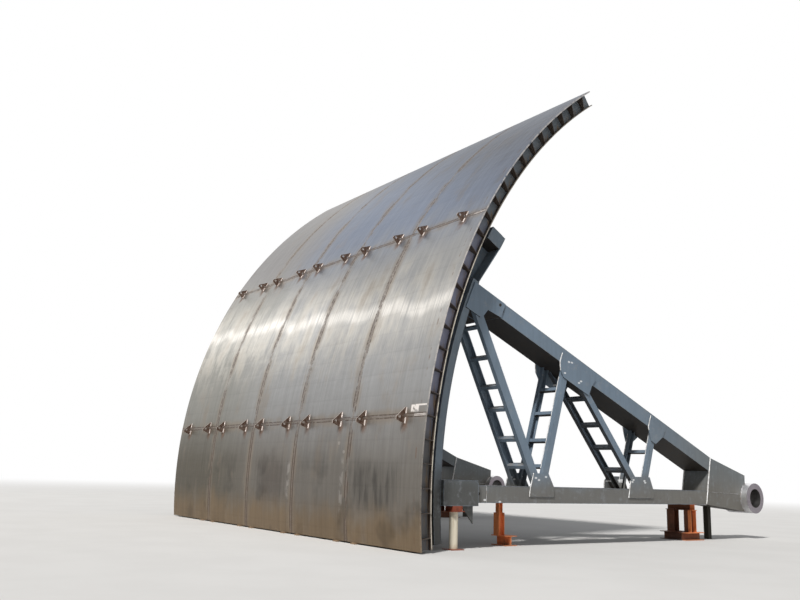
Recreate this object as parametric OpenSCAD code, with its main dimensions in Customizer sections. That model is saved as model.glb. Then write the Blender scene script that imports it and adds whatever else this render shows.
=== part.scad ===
// Radial gate standing in a fabrication yard: a curved skin plate on horizontal ribs and
// curved vertical girders, carried by two radial arms of boxed chords and battened bars,
// each ending in a folded trunnion box with a bored hub, on yard stands.
// Millimetres. Z up from ground level, X positive from the skin towards the trunnions,
// Y across the width. The right side is the one at negative Y.

/* [Gate leaf] */
// Width of the gate leaf across the skin plate
gate_w = 12500; // [9000:100:15000]
// Outer radius of the skin plate about the trunnion axis
skin_r = 12050; // [11800:10:12200]
// Thickness of the skin plate
skin_t = 30; // [16:1:50]
// Height of the trunnion axis above the ground
axis_z = 1095; // [1000:5:1250]
// Height of the skin's lower edge above the ground
sill_gap = 30; // [15:1:60]
// Angle of the skin's top edge above the horizontal through the trunnion, degrees
top_a = 53.6; // [46:0.1:58]
// Angle of the lower welded field joint, degrees
joint_low_a = 7.2; // [6:0.1:9]
// Angle of the upper welded field joint, degrees
joint_high_a = 29.55; // [28.5:0.05:30.5]
// Distance from the skin's side edge to the outer plate seam
seam_edge = 2630; // [2300:10:2800]
// Distance from the gate's middle to the inner plate seam
seam_mid = 1205; // [1000:5:1400]

/* [Ribs and curved girders] */
// Number of horizontal ribs between the two field joints
ribs_mid = 10; // [8:1:12]
// Radial depth of a horizontal rib
rib_d = 160; // [100:5:220]
// Plate thickness of a horizontal rib
rib_t = 12; // [8:1:20]
// Width of a horizontal rib's flange
rib_flange = 90; // [60:5:130]
// Radial depth of the curved girders behind the skin plate, flange included
girder_d = 320; // [280:5:380]
// Web thickness of the curved girders
girder_web = 14; // [10:1:24]
// Flange thickness of the curved girders
girder_flange_t = 20; // [12:1:30]
// Flange width of the curved girders at the seams
girder_flange_w = 220; // [160:5:300]
// Distance from the skin's side edge in to the face of the side girder's web
edge_recess = 200; // [140:5:260]
// Flange width of the side girders
edge_flange_w = 200; // [140:5:240]
// Thickness of the side brackets
bracket_t = 16; // [10:1:25]
// How far a side bracket reaches outwards over the side flange
bracket_toe = 90; // [50:5:100]
// Thickness of the bottom and top closing plates
closing_t = 25; // [16:1:40]

/* [Arm girders and cross girders] */
// Distance of each arm's middle plane from the skin's side edge
arm_inset = 985; // [900:5:1100]
// Width of an arm across its boxed chords
arm_w = 770; // [640:10:840]
// Distance from the skin plate's outer face back to the arm girders' rear face
arm_off = 970; // [850:10:1100]
// Radial depth of the arm girder's boxed rear chord
arm_girder_box = 180; // [120:5:240]
// Web thickness of the arm girders
arm_girder_web = 20; // [12:1:30]
// Angle at which the boxed rear chord ends above the arm's upper joint, degrees
arm_box_top_a = 24; // [23.5:0.1:25]
// How much deeper the arm girder gets at its top beam
arm_flare = 150; // [80:5:220]
// Plate thickness of the flared rear flange
flare_t = 25; // [16:1:36]
// Angle of the top cross beam's middle, degrees
top_beam_a = 30.2; // [29.8:0.1:31]
// Height of the top cross beam, along the arc
top_beam_h = 330; // [240:10:400]
// Radial depth of the top cross beam at its ends
top_beam_d = 420; // [360:10:480]
// Radial depth of the lower main girder behind the arm girders
main_d = 920; // [700:10:1100]
// Radial depth of the upper main girder behind the arm girders
upper_d = 850; // [700:10:1000]
// Depth of the lower main girder below the lower chord's middle line
main_low = 235; // [200:5:300]
// Height of the lower main girder above the lower chord's middle line
main_high = 275; // [220:5:340]
// How far the lower main girder's ends stand out past the arm
main_end = 90; // [40:5:140]
// Thickness of the knee plates under the lower main girder
knee_t = 25; // [16:1:40]
// Drop of the knee plates below the lower main girder
knee_drop = 360; // [250:10:480]
// Length of the knee plates along the lower main girder's depth
knee_l = 310; // [180:10:330]
// Distance of the knee plates in from the lower main girder's rear face
knee_in = 70; // [20:5:90]

/* [Arms] */
// Angle between the horizontal lower chord and the upper chord, degrees
chord_a = 22.8; // [22:0.05:24]
// Depth of both boxed chords, seen from the side
chord_h = 345; // [300:5:420]
// Length from the trunnion axis to the fold where the trunnion box begins
box_len = 2240; // [2000:10:2500]
// Distance from the arm girders' rear face to the first upper joint
up_1 = 690; // [580:10:830]
// Distance from the arm girders' rear face to the first lower joint
low_1 = 2830; // [2580:10:3080]
// Distance from the arm girders' rear face to the second upper joint
up_2 = 3720; // [3480:10:3980]
// Distance from the arm girders' rear face to the second lower joint
low_2 = 6290; // [6080:10:6580]
// Distance from the arm girders' rear face to the third upper joint
up_3 = 6850; // [6680:5:6930]
// Width of the first diagonal's bars, seen from the side
bar_w1 = 210; // [160:5:260]
// Width of the second diagonal's bars
bar_w2 = 170; // [130:5:220]
// Width of the third diagonal's bars
bar_w3 = 165; // [130:5:210]
// Width of the fourth diagonal's bars
bar_w4 = 140; // [110:5:180]
// Depth of every bar across the arm
bar_d = 110; // [80:5:200]
// Plate thickness of the bars
bar_t = 14; // [8:1:24]
// Depth of a batten along its bars
batten_h = 75; // [50:5:120]
// How far a batten is set in from the bars' edges
batten_inset = 20; // [5:1:40]
// Thickness of the gusset plates
gusset_t = 25; // [14:1:36]
// Reach of the gusset plates from a chord's middle line towards the bars
gusset_reach = 470; // [420:5:520]

/* [Trunnions] */
// Outer radius of the trunnion hub
hub_r = 405; // [350:5:450]
// Radius of the trunnion bore
bore_r = 250; // [180:1:300]
// Length of the hub across the arm
hub_l = 770; // [600:10:900]
// Distance from the trunnion axis to the trunnion box's end
box_end = 130; // [60:5:200]
// Height of the trunnion box's end above the trunnion axis
box_end_top = 610; // [500:10:680]
// Depth of the trunnion box's end below the trunnion axis
box_end_low = 367; // [360:1:400]
// Width of the trunnion box at the hub
box_tip_w = 300; // [220:10:420]

/* [Joint dogs] */
// Length of a joint dog across the weld
dog_l = 330; // [240:10:400]
// Stand-out of a joint dog from the skin plate
dog_h = 210; // [170:5:240]
// Length of a joint dog's outer edge
dog_nose = 60; // [40:5:80]
// Drop of that edge's middle below the weld
dog_drop = 85; // [60:5:100]
// Thickness of a joint dog
dog_t = 20; // [12:1:30]
// Radius of the half-round opening over the weld
dog_hole_r = 40; // [25:1:50]
// Distance of a joint dog's slot from the skin plate
dog_slot = 140; // [115:5:145]
// Drop of the slot's middle below the weld
dog_slot_drop = 45; // [30:5:55]
// Side of the square slot
dog_slot_w = 50; // [30:5:60]
// Distance of the dogs from the seam between two plate columns
dog_off = 480; // [300:10:600]
// Distance of the outermost dogs from the skin's side edge
dog_edge = 690; // [500:10:800]

/* [Yard stands] */
// Radius of the pipe stands at the gate end
pipe_r = 88; // [60:1:120]
// Distance from the arm girders' rear face back to the pipe stands
pipe_off = 370; // [300:5:460]
// Distance of the pipe stands in from the arm's outer face
pipe_side = 30; // [0:5:100]
// Side of the pipe stands' square plates
pipe_plate = 320; // [260:10:380]
// Height of the packing on a pipe stand
pipe_pack = 100; // [60:5:140]
// Distance from the arm girders' rear face back to the beam stands
beam_off = 2250; // [2100:10:2450]
// Distance of the beam stands out from the arm's inner face
beam_side = 200; // [150:5:300]
// Height of the beam stands' foot beam
foot_h = 215; // [150:5:260]
// Width of the beam stands' foot beam
foot_w = 350; // [280:5:420]
// Length of the beam stands' foot beam across the gate
foot_l = 450; // [360:10:560]
// Side of the beam stands' column
column_w = 170; // [130:5:220]
// Distance of that column's middle from the foot beam's middle, both ways
column_off = 80; // [20:5:85]
// Height of the short column on top of it
head_h = 230; // [150:5:280]
// Side of the short column
head_w = 110; // [80:5:125]
// Distance from the fold to the trunnion stands
tstand_off = 170; // [150:10:400]
// Height of the trunnion stands' foot beams
tfoot_h = 200; // [150:5:240]
// Width of the trunnion stands' foot beams
tfoot_w = 300; // [240:5:340]
// Length of the trunnion stands' foot beams
tfoot_l = 750; // [600:10:860]
// Side of the trunnion stands' columns
tcol_w = 220; // [180:5:240]
// Distance of the outer column in from the arm's outer face
tcol_out = 400; // [330:5:420]
// Distance of the inner column in from the arm's inner face
tcol_in = 160; // [140:5:300]
// Height of the trunnion stands' cross beam
tcross_h = 170; // [120:5:200]
// Width of the trunnion stands' cross beam
tcross_w = 200; // [140:5:240]
// How far the cross beam stands out past the columns' middles
tcross_end = 150; // [120:5:220]
// Distance from the fold on to the rear posts
post_off = 850; // [700:10:1000]
// Distance of the rear posts in from the arm's middle plane
post_side = 205; // [100:5:220]
// Side of a rear post
post_w = 140; // [100:10:160]
// Flange thickness of the stands' beams
stand_t = 16; // [10:1:24]
// Width of a sill shim along the skin
shim_w = 160; // [100:10:240]
// Distance of each sill shim from its seam
shim_off = 350; // [250:10:500]

/* [Hidden] */
$fn = 96;
// facets of the large arcs about the trunnion axis
arc_fn = 360;

// angles of the skin's lower edge and of the ribs
sill_a = -asin((axis_z - sill_gap) / skin_r);
pitch_a = (joint_high_a - joint_low_a) / ribs_mid;
ribs_low = floor((joint_low_a - sill_a) / pitch_a - 0.3);
ribs_top = floor((top_a - joint_high_a) / pitch_a - 0.3);
// radii of the skin's inner face, of the girders' rear face and of the flanges' front face
in_r = skin_r - skin_t;
rear_r = in_r - girder_d;
flange_r = rear_r + girder_flange_t;
// the arm girder's rear face, and the front face of its boxed rear chord
arm_girder_r = skin_r - arm_off;
arm_front_r = arm_girder_r + arm_girder_box;
// planes of the arms
arm_y = gate_w / 2 - arm_inset;
arm_in = arm_y - arm_w / 2;
arm_out = arm_y + arm_w / 2;
// plane of the side girder's outer web face
edge_y = gate_w / 2 - edge_recess;
// seams between the plate columns, where the curved girders stand
seam_out = gate_w / 2 - seam_edge;
seam_in = seam_mid;
// half the angle between the chords, and the distance of the fold along it
half_a = chord_a / 2;
fold_d = box_len * cos(half_a) - chord_h / 2 * sin(half_a);
// reach of the joint dogs, which with the hubs sets the middle of the length
dog_end = dog_drop + dog_nose / 2;
far_x = max(skin_r, (skin_r + dog_h) * cos(joint_low_a) + dog_end * sin(joint_low_a));
axis_x = (far_x - hub_r) / 2;
// distances of the dogs from the gate's middle, two to a plate column
dog_places = [gate_w / 2 - dog_edge, seam_out + dog_off, seam_out - dog_off, seam_in + dog_off,
    seam_in - dog_off];
// depth by which a welded piece is let into the one that carries it
seat = 0.3;
// webs that divide the ribs
webs = [-edge_y, -arm_y, -seam_out, -seam_in, seam_in, seam_out, arm_y, edge_y];
steel = [0.50, 0.50, 0.50];
primer = [0.42, 0.48, 0.54];
red_primer = [0.48, 0.18, 0.12];
pale_paint = [0.80, 0.78, 0.70];

function web_half(y) = (abs(y) == arm_y ? arm_girder_web : girder_web) / 2;
// point at radius r and angle a, in the side view about the trunnion axis
function polar(r, a) = [-r * cos(a), r * sin(a)];
// point at distance s along the upper chord and n above its middle line
function on_chord(s, n) = [-s * cos(chord_a) + n * sin(chord_a), s * sin(chord_a) + n * cos(chord_a)];
// points on the chords' middle lines at distance d behind the arm girders' rear face
function up_node(d) = [d - arm_girder_r, (arm_girder_r - d) * tan(chord_a)];
function low_node(d) = [d - arm_girder_r, 0];
// distance of an arc of radius r from the trunnion axis, measured n beside a radial line
function foot(r, n) = sqrt(r * r - n * n);

// a side-view shape about the trunnion axis, extruded from y1 to y2
module slab(y1, y2) {
    translate([axis_x, y2, axis_z])
        rotate([90, 0, 0])
            linear_extrude(y2 - y1)
                children();
}

// a curved plate between two radii and two angles
module arc_plate(r1, r2, a1, a2, y1, y2) {
    translate([axis_x, 0, axis_z])
        rotate([90, 0, 0])
            rotate([0, 0, 180 - a2])
                rotate_extrude(angle = a2 - a1, $fn = arc_fn)
                    translate([r1, -y2])
                        square([r2 - r1, y2 - y1]);
}

// a side-view shape turned so that its first axis points outwards at angle a
module radial(a) {
    rotate(-a)
        mirror([1, 0])
            children();
}

// pieces built at the trunnion axis with upstream as minus X, turned up by angle a
module at_angle(a) {
    translate([axis_x, 0, axis_z])
        rotate([0, a, 0])
            children();
}

// the same piece on the left arm
module left() {
    mirror([0, 1, 0])
        children();
}

// Skin plate

module skin_lower() {
    color(steel)
        arc_plate(in_r, skin_r, sill_a, joint_low_a, -gate_w / 2, gate_w / 2);
}

module skin_middle() {
    color(steel)
        arc_plate(in_r, skin_r, joint_low_a, joint_high_a, -gate_w / 2, gate_w / 2);
}

module skin_upper() {
    color(steel)
        arc_plate(in_r, skin_r, joint_high_a, top_a, -gate_w / 2, gate_w / 2);
}

// Horizontal ribs, each cut between the curved girders' webs

module rib(a) {
    at_angle(a)
        for (i = [0 : len(webs) - 2]) {
            y1 = webs[i] + web_half(webs[i]);
            y2 = webs[i + 1] - web_half(webs[i + 1]);
            translate([-in_r, y1, -rib_t / 2])
                cube([rib_d, y2 - y1, rib_t]);
            translate([-in_r + rib_d - rib_t, y1, -rib_flange / 2])
                cube([rib_t, y2 - y1, rib_flange]);
        }
}

module closing_plate(a, side) {
    at_angle(a)
        for (i = [0 : len(webs) - 2]) {
            y1 = webs[i] + web_half(webs[i]);
            y2 = webs[i + 1] - web_half(webs[i + 1]);
            translate([-in_r, y1, side > 0 ? 0 : -closing_t])
                cube([girder_d - girder_flange_t, y2 - y1, closing_t]);
        }
}

module ribs_lower() {
    color(primer) {
        closing_plate(sill_a, 1);
        for (i = [1 : ribs_low])
            rib(joint_low_a - i * pitch_a);
    }
}

module ribs_middle() {
    color(primer)
        for (i = [0 : ribs_mid - 1])
            rib(joint_low_a + i * pitch_a);
}

module ribs_upper() {
    color(primer) {
        for (i = [0 : ribs_top])
            rib(joint_high_a + i * pitch_a);
        closing_plate(top_a, -1);
    }
}

// Curved girders at the seams

module stringer(y) {
    color(primer) {
        arc_plate(flange_r, in_r, sill_a, top_a, y - girder_web / 2, y + girder_web / 2);
        arc_plate(rear_r, flange_r, sill_a, top_a, y - girder_flange_w / 2, y + girder_flange_w / 2);
    }
}

module stringer_right_outer() {
    stringer(-seam_out);
}

module stringer_right_inner() {
    stringer(-seam_in);
}

module stringer_left_inner() {
    stringer(seam_in);
}

module stringer_left_outer() {
    stringer(seam_out);
}

// Side girders with the ladder of outside brackets

module bracket(a) {
    at_angle(a)
        translate([0, 0, -bracket_t / 2])
            linear_extrude(bracket_t)
                polygon([[-in_r - seat, -gate_w / 2], [-in_r - seat, -edge_y],
                    [-rear_r - girder_flange_t / 2, -edge_y],
                    [-rear_r - girder_flange_t / 2, -edge_y - bracket_toe]]);
}

module edge_girder_right() {
    color(primer) {
        arc_plate(flange_r, in_r, sill_a, top_a, -edge_y - girder_web / 2, -edge_y + girder_web / 2);
        arc_plate(rear_r, flange_r, sill_a, top_a, -edge_y - edge_flange_w / 2,
            -edge_y + edge_flange_w / 2);
        for (i = [-ribs_low : ribs_mid + ribs_top])
            bracket(joint_low_a + i * pitch_a);
    }
}

module edge_girder_left() {
    left()
        edge_girder_right();
}

// Arm girders: deep web to the skin, boxed rear chord, flared open top

module arm_girder_right() {
    beam_low_a = top_beam_a - asin(top_beam_h / 2 / arm_girder_r);
    beam_top_a = top_beam_a + asin(top_beam_h / 2 / arm_girder_r);
    y1 = -arm_y - arm_girder_web / 2;
    y2 = -arm_y + arm_girder_web / 2;
    deep_r = arm_girder_r - arm_flare + top_beam_d;
    color(primer) {
        // boxed rear chord and the web that joins it to the skin
        arc_plate(arm_girder_r, arm_front_r, sill_a, arm_box_top_a, -arm_out, -arm_in);
        arc_plate(arm_front_r - 30, in_r, sill_a, beam_low_a, y1, y2);
        // open part above, with a rear flange that flares out to the top cross beam
        slab(-arm_out + 5, -arm_in - 5)
            polygon([polar(arm_girder_r + 6, arm_box_top_a - 0.4), polar(arm_girder_r + 6, arm_box_top_a),
                polar(arm_girder_r - arm_flare, beam_low_a), polar(arm_girder_r - arm_flare + flare_t, beam_low_a),
                polar(arm_girder_r + flare_t, arm_box_top_a), polar(arm_girder_r + flare_t, arm_box_top_a - 0.4)]);
        slab(y1 + 1, y2 - 1)
            polygon([polar(arm_girder_r + flare_t / 2, arm_box_top_a - 0.2),
                polar(arm_girder_r - arm_flare + flare_t / 2, beam_low_a),
                polar(arm_front_r + 60, beam_low_a), polar(arm_front_r + 60, arm_box_top_a - 0.2)]);
        // behind and above the top cross beam the web tapers to the curved girder's depth
        slab(y1 + 1, y2 - 1)
            polygon([polar(deep_r, beam_low_a - 0.2), polar(deep_r, beam_top_a),
                polar(rear_r + girder_flange_t / 2, beam_top_a + pitch_a), polar(in_r - 8, beam_top_a + pitch_a),
                polar(in_r - 8, beam_low_a - 0.2)]);
        arc_plate(flange_r - 5, in_r, beam_top_a, top_a, y1, y2);
        arc_plate(rear_r, flange_r, beam_top_a, top_a, -arm_y - girder_flange_w / 2,
            -arm_y + girder_flange_w / 2);
    }
}

module arm_girder_left() {
    left()
        arm_girder_right();
}

// Cross girders

// section of a cross girder from radius s_in out to the arc of radius r
module girder_section(a, s_in, r, n1, n2) {
    radial(a)
        polygon([[s_in, n1], [foot(r, n1), n1], [foot(r, n2), n2], [s_in, n2]]);
}

module main_girder_lower() {
    y_end = arm_out + main_end;
    x_in = arm_girder_r - main_d;
    x_near = x_in + knee_in;
    color(primer) {
        slab(-y_end, y_end)
            girder_section(0, x_in, arm_girder_r, -main_low, main_high);
        slab(-arm_in, arm_in)
            girder_section(0, x_in, rear_r, -main_low, main_high);
        for (y = [-arm_out, arm_out - knee_t])
            slab(y, y + knee_t)
                polygon([[-x_near, -main_low + 20], [-x_near - knee_l, -main_low + 20],
                    [-x_near - knee_l, -main_low], [-x_near, -main_low - knee_drop]]);
    }
}

module main_girder_upper() {
    s_in = arm_girder_r - upper_d;
    color(primer) {
        slab(-arm_out, arm_out)
            girder_section(chord_a, s_in, arm_girder_r, -chord_h / 2, chord_h / 2);
        slab(-arm_in, arm_in)
            girder_section(chord_a, s_in, rear_r, -chord_h / 2, chord_h / 2);
    }
}

module cross_beam_top() {
    s_in = arm_girder_r - arm_flare;
    color(primer) {
        slab(-arm_out, arm_out)
            radial(top_beam_a)
                translate([s_in, -top_beam_h / 2])
                    square([top_beam_d, top_beam_h]);
        slab(-arm_in, arm_in)
            girder_section(top_beam_a, s_in, rear_r, -top_beam_h / 2, top_beam_h / 2);
    }
}

// Arm chords

module lower_chord_right() {
    color(primer)
        slab(-arm_out, -arm_in)
            polygon([[-box_len, -chord_h / 2], [-box_len + chord_h * tan(half_a), chord_h / 2],
                [-arm_girder_r + main_d, chord_h / 2], [-arm_girder_r + main_d, -chord_h / 2]]);
}

module lower_chord_left() {
    left()
        lower_chord_right();
}

module upper_chord_right() {
    s_far = arm_girder_r - upper_d;
    color(primer)
        slab(-arm_out, -arm_in)
            polygon([on_chord(box_len, chord_h / 2), on_chord(box_len - chord_h * tan(half_a), -chord_h / 2),
                on_chord(s_far, -chord_h / 2), on_chord(s_far, chord_h / 2)]);
}

module upper_chord_left() {
    left()
        upper_chord_right();
}

// Battened bars of the arms

// the space between the two chords, in side view
module between_chords() {
    polygon([[0, chord_h / 2], [-arm_girder_r, chord_h / 2], on_chord(arm_girder_r, -chord_h / 2),
        on_chord(chord_h, -chord_h / 2)]);
}

// side view of a bar of width w from p to q
module strip(p, q, w) {
    a = atan2(q[1] - p[1], q[0] - p[0]);
    l = norm(q - p);
    translate(p)
        rotate(a)
            translate([0, -w / 2])
                square([l, w]);
}

module diagonal(p, q, w, battens) {
    a = atan2(q[1] - p[1], q[0] - p[0]);
    l = norm(q - p);
    y_gap1 = -arm_out + bar_t;
    y_gap2 = -arm_in - bar_t;
    color(primer) {
        for (side = [0, 1]) {
            y_web = side == 0 ? -arm_out : -arm_in - bar_t;
            y_bar = side == 0 ? -arm_out : -arm_in - bar_d;
            slab(y_web, y_web + bar_t)
                intersection() {
                    strip(p, q, w);
                    between_chords();
                }
            slab(y_bar, y_bar + bar_d)
                intersection() {
                    difference() {
                        strip(p, q, w);
                        strip(p, q, w - 2 * bar_t);
                    }
                    between_chords();
                }
        }
        for (f = battens)
            slab(y_gap1, y_gap2)
                translate(p)
                    rotate(a)
                        translate([f * l - batten_h / 2, -w / 2 + batten_inset])
                            square([batten_h, w - 2 * batten_inset]);
    }
}

module diagonal_1_right() {
    diagonal(up_node(up_1), low_node(low_1), bar_w1, [0.185, 0.33, 0.47, 0.578, 0.725, 0.858]);
}

module diagonal_2_right() {
    diagonal(up_node(up_2), low_node(low_1), bar_w2, [0.228, 0.41, 0.612, 0.80]);
}

module diagonal_3_right() {
    diagonal(up_node(up_2), low_node(low_2), bar_w3, [0.272, 0.462, 0.628, 0.80]);
}

module diagonal_4_right() {
    diagonal(up_node(up_3), low_node(low_2), bar_w4, [0.39]);
}

module diagonal_1_left() {
    left()
        diagonal_1_right();
}

module diagonal_2_left() {
    left()
        diagonal_2_right();
}

module diagonal_3_left() {
    left()
        diagonal_3_right();
}

module diagonal_4_left() {
    left()
        diagonal_4_right();
}

// Gusset plates, one outside each face of the arm

module gusset_shapes() {
    s_2 = (arm_girder_r - up_2) / cos(chord_a);
    s_3 = (arm_girder_r - up_3) / cos(chord_a);
    x_1 = low_1 - arm_girder_r;
    x_2 = low_2 - arm_girder_r;
    s_end = arm_girder_r - upper_d;
    r = gusset_reach;
    polygon([on_chord(s_end, chord_h / 2), on_chord(s_end, -chord_h / 2), on_chord(s_end + 400, -chord_h / 2 - 40),
        on_chord(s_end + 460, -r + 70), on_chord(s_end + 530, -r), on_chord(arm_front_r - 60, -r),
        on_chord(arm_front_r - 60, chord_h / 2)]);
    polygon([on_chord(s_2 + 240, 0), on_chord(s_2 + 240, -180), on_chord(s_2 + 145, -360),
        on_chord(s_2, -r), on_chord(s_2 - 915, -r), on_chord(s_2 - 925, -230), on_chord(s_2 - 1000, 0)]);
    polygon([on_chord(s_3 + 260, 30), on_chord(s_3 + 250, -185), on_chord(s_3 + 155, -320),
        on_chord(s_3 + 30, -r), on_chord(s_3 - 150, -r), on_chord(s_3 - 337, -chord_h / 2 - 25),
        on_chord(s_3 - 370, 30)]);
    polygon([[x_1 - 251, r], [x_1 - 351, 166], [x_1 - 385, -35], [x_1 + 365, -35],
        [x_1 + 367, 177], [x_1 + 197, r]]);
    polygon([[x_2 - 368, r], [x_2 - 476, 365], [x_2 - 553, -35], [x_2 + 364, -35],
        [x_2 + 391, 112], [x_2 + 277, 380], [x_2 + 238, r]]);
}

module gussets_right() {
    color(primer) {
        slab(-arm_out - gusset_t, -arm_out)
            gusset_shapes();
        slab(-arm_in, -arm_in + gusset_t)
            difference() {
                gusset_shapes();
                radial(chord_a)
                    translate([arm_girder_r - upper_d - 70, -chord_h / 2])
                        square([2 * upper_d, chord_h + 50]);
            }
    }
}

module gussets_left() {
    left()
        gussets_right();
}

// Trunnion boxes and hubs

module trunnion_box_right() {
    color(primer)
        intersection() {
            slab(-arm_out, -arm_in)
                difference() {
                    polygon([[-box_len, -chord_h / 2], on_chord(box_len, chord_h / 2),
                        [-box_end, box_end_top], [-box_end, -box_end_low]]);
                    circle(r = hub_r);
                }
            translate([0, -arm_y, 0])
                at_angle(half_a)
                    translate([0, 0, -box_len])
                        linear_extrude(2 * box_len)
                            polygon([[-fold_d - 100, -arm_w / 2], [-fold_d, -arm_w / 2], [0, -box_tip_w / 2],
                                [0, box_tip_w / 2], [-fold_d, arm_w / 2], [-fold_d - 100, arm_w / 2]]);
        }
}

module trunnion_box_left() {
    left()
        trunnion_box_right();
}

module trunnion_hub_right() {
    color(steel)
        translate([axis_x, -arm_y, axis_z])
            rotate([90, 0, 0])
                difference() {
                    cylinder(r = hub_r, h = hub_l, center = true);
                    cylinder(r = bore_r, h = hub_l + 20, center = true);
                }
}

module trunnion_hub_left() {
    left()
        trunnion_hub_right();
}

// Dogs that hold the field joints in line, two to a plate column

module joint_dogs(a) {
    color(steel)
        for (side = [-1, 1], place = dog_places) {
            y = side * place;
            slab(y - dog_t / 2, y + dog_t / 2)
                radial(a)
                    difference() {
                        polygon([[foot(skin_r, dog_l / 2), -dog_l / 2], [skin_r + 20, -dog_l / 2],
                            [skin_r + dog_h, -dog_end], [skin_r + dog_h, dog_nose - dog_end],
                            [skin_r + 20, dog_l / 2], [foot(skin_r, dog_l / 2), dog_l / 2],
                            [foot(skin_r, dog_hole_r), dog_hole_r], [foot(skin_r, dog_hole_r), -dog_hole_r]]);
                        translate([skin_r, 0])
                            circle(r = dog_hole_r);
                        translate([skin_r + dog_slot, -dog_slot_drop])
                            square(dog_slot_w, center = true);
                    }
        }
}

module joint_dogs_lower() {
    joint_dogs(joint_low_a);
}

module joint_dogs_upper() {
    joint_dogs(joint_high_a);
}

// Shims under the skin's lower edge

function sill_z(x) = axis_z + x * tan(sill_a);

module sill_shims() {
    x1 = (rear_r + 60) * cos(sill_a);
    x2 = skin_r * cos(sill_a) + 60;
    color(red_primer)
        for (seam = [-seam_out, -seam_in, seam_in, seam_out], side = [-1, 1]) {
            y = seam + side * shim_off;
            slab(y - shim_w / 2, y + shim_w / 2)
                polygon([[-x1, -axis_z], [-x2, -axis_z], [-x2, sill_z(x2) - axis_z], [-x1, sill_z(x1) - axis_z]]);
        }
}

// Yard stands

// a rolled beam of depth d and width w, lying along Y for length l, its foot at z 0
module lying_beam(d, w, l) {
    translate([-w / 2, -l / 2, 0])
        cube([w, l, stand_t]);
    translate([-w / 2, -l / 2, d - stand_t])
        cube([w, l, stand_t]);
    translate([-stand_t / 2, -l / 2, 0])
        cube([stand_t, l, d]);
}

// a rolled beam standing up for height h
module standing_beam(d, w, h) {
    translate([-d / 2, -w / 2, 0])
        cube([stand_t, w, h]);
    translate([d / 2 - stand_t, -w / 2, 0])
        cube([stand_t, w, h]);
    translate([-d / 2, -stand_t / 2, 0])
        cube([d, stand_t, h]);
}

module pipe_stand_right() {
    top_z = axis_z - main_low - pipe_pack;
    pack_w = pipe_plate - 70;
    translate([axis_x - arm_girder_r + pipe_off, -arm_out + pipe_side, 0]) {
        color(pale_paint)
            translate([0, 0, stand_t])
                cylinder(r = pipe_r, h = top_z - 2 * stand_t);
        color(red_primer) {
            translate([-pipe_plate / 2, -pipe_plate / 2, 0])
                cube([pipe_plate, pipe_plate, stand_t]);
            translate([-pipe_plate / 2, -pipe_plate / 2, top_z - stand_t])
                cube([pipe_plate, pipe_plate, stand_t]);
            translate([-pack_w / 2, -pack_w / 2, top_z])
                cube([pack_w, pack_w, pipe_pack]);
        }
    }
}

module pipe_stand_left() {
    left()
        pipe_stand_right();
}

module beam_stand_right() {
    under = axis_z - chord_h / 2;
    color(red_primer)
        translate([axis_x - arm_girder_r + beam_off, -arm_in - beam_side, 0]) {
            lying_beam(foot_h, foot_w, foot_l);
            translate([-column_off, column_off, foot_h])
                standing_beam(column_w, column_w, under - foot_h - head_h);
            translate([-column_off, column_off, under - head_h])
                standing_beam(head_w, head_w, head_h);
        }
}

module beam_stand_left() {
    left()
        beam_stand_right();
}

module trunnion_stand_right() {
    under = axis_z - chord_h / 2;
    run = (box_end_low - chord_h / 2) / (box_len - box_end);
    post_near = post_off + post_w / 2;
    post_far = post_off - post_w / 2;
    col_1 = -arm_out + tcol_out;
    col_2 = -arm_in + tcol_in;
    tstand_x = axis_x - box_len - tstand_off;
    color(red_primer) {
        for (y = [col_1, col_2])
            translate([tstand_x, y, 0]) {
                rotate([0, 0, 90])
                    lying_beam(tfoot_h, tfoot_w, tfoot_l);
                translate([0, 0, tfoot_h])
                    standing_beam(tcol_w, tcol_w, under - tfoot_h - tcross_h);
            }
        translate([tstand_x, (col_1 + col_2) / 2, under - tcross_h])
            lying_beam(tcross_h, tcross_w, col_2 - col_1 + 2 * tcross_end);
        slab(-arm_y + post_side - post_w / 2, -arm_y + post_side + post_w / 2)
            polygon([[post_far - box_len, -axis_z], [post_near - box_len, -axis_z],
                [post_near - box_len, -chord_h / 2 - post_near * run],
                [post_far - box_len, -chord_h / 2 - post_far * run]]);
    }
}

module trunnion_stand_left() {
    left()
        trunnion_stand_right();
}

skin_lower();
skin_middle();
skin_upper();
ribs_lower();
ribs_middle();
ribs_upper();
stringer_right_outer();
stringer_right_inner();
stringer_left_inner();
stringer_left_outer();
edge_girder_right();
edge_girder_left();
arm_girder_right();
arm_girder_left();
main_girder_lower();
main_girder_upper();
cross_beam_top();
lower_chord_right();
lower_chord_left();
upper_chord_right();
upper_chord_left();
gussets_right();
gussets_left();
diagonal_1_right();
diagonal_2_right();
diagonal_3_right();
diagonal_4_right();
diagonal_1_left();
diagonal_2_left();
diagonal_3_left();
diagonal_4_left();
trunnion_box_right();
trunnion_box_left();
trunnion_hub_right();
trunnion_hub_left();
joint_dogs_lower();
joint_dogs_upper();
sill_shims();
pipe_stand_right();
pipe_stand_left();
beam_stand_right();
beam_stand_left();
trunnion_stand_right();
trunnion_stand_left();
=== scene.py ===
"""Looks of a radial gate that stands in a fabrication yard.

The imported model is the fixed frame. This script dresses its plates in bare steel,
primer and paint, lays the weld beads that join them, and sets up floor, light and camera.
"""

import logging
import math
from dataclasses import dataclass, field
from enum import Enum
from itertools import product

import bpy
from mathutils import Matrix, Vector


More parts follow.
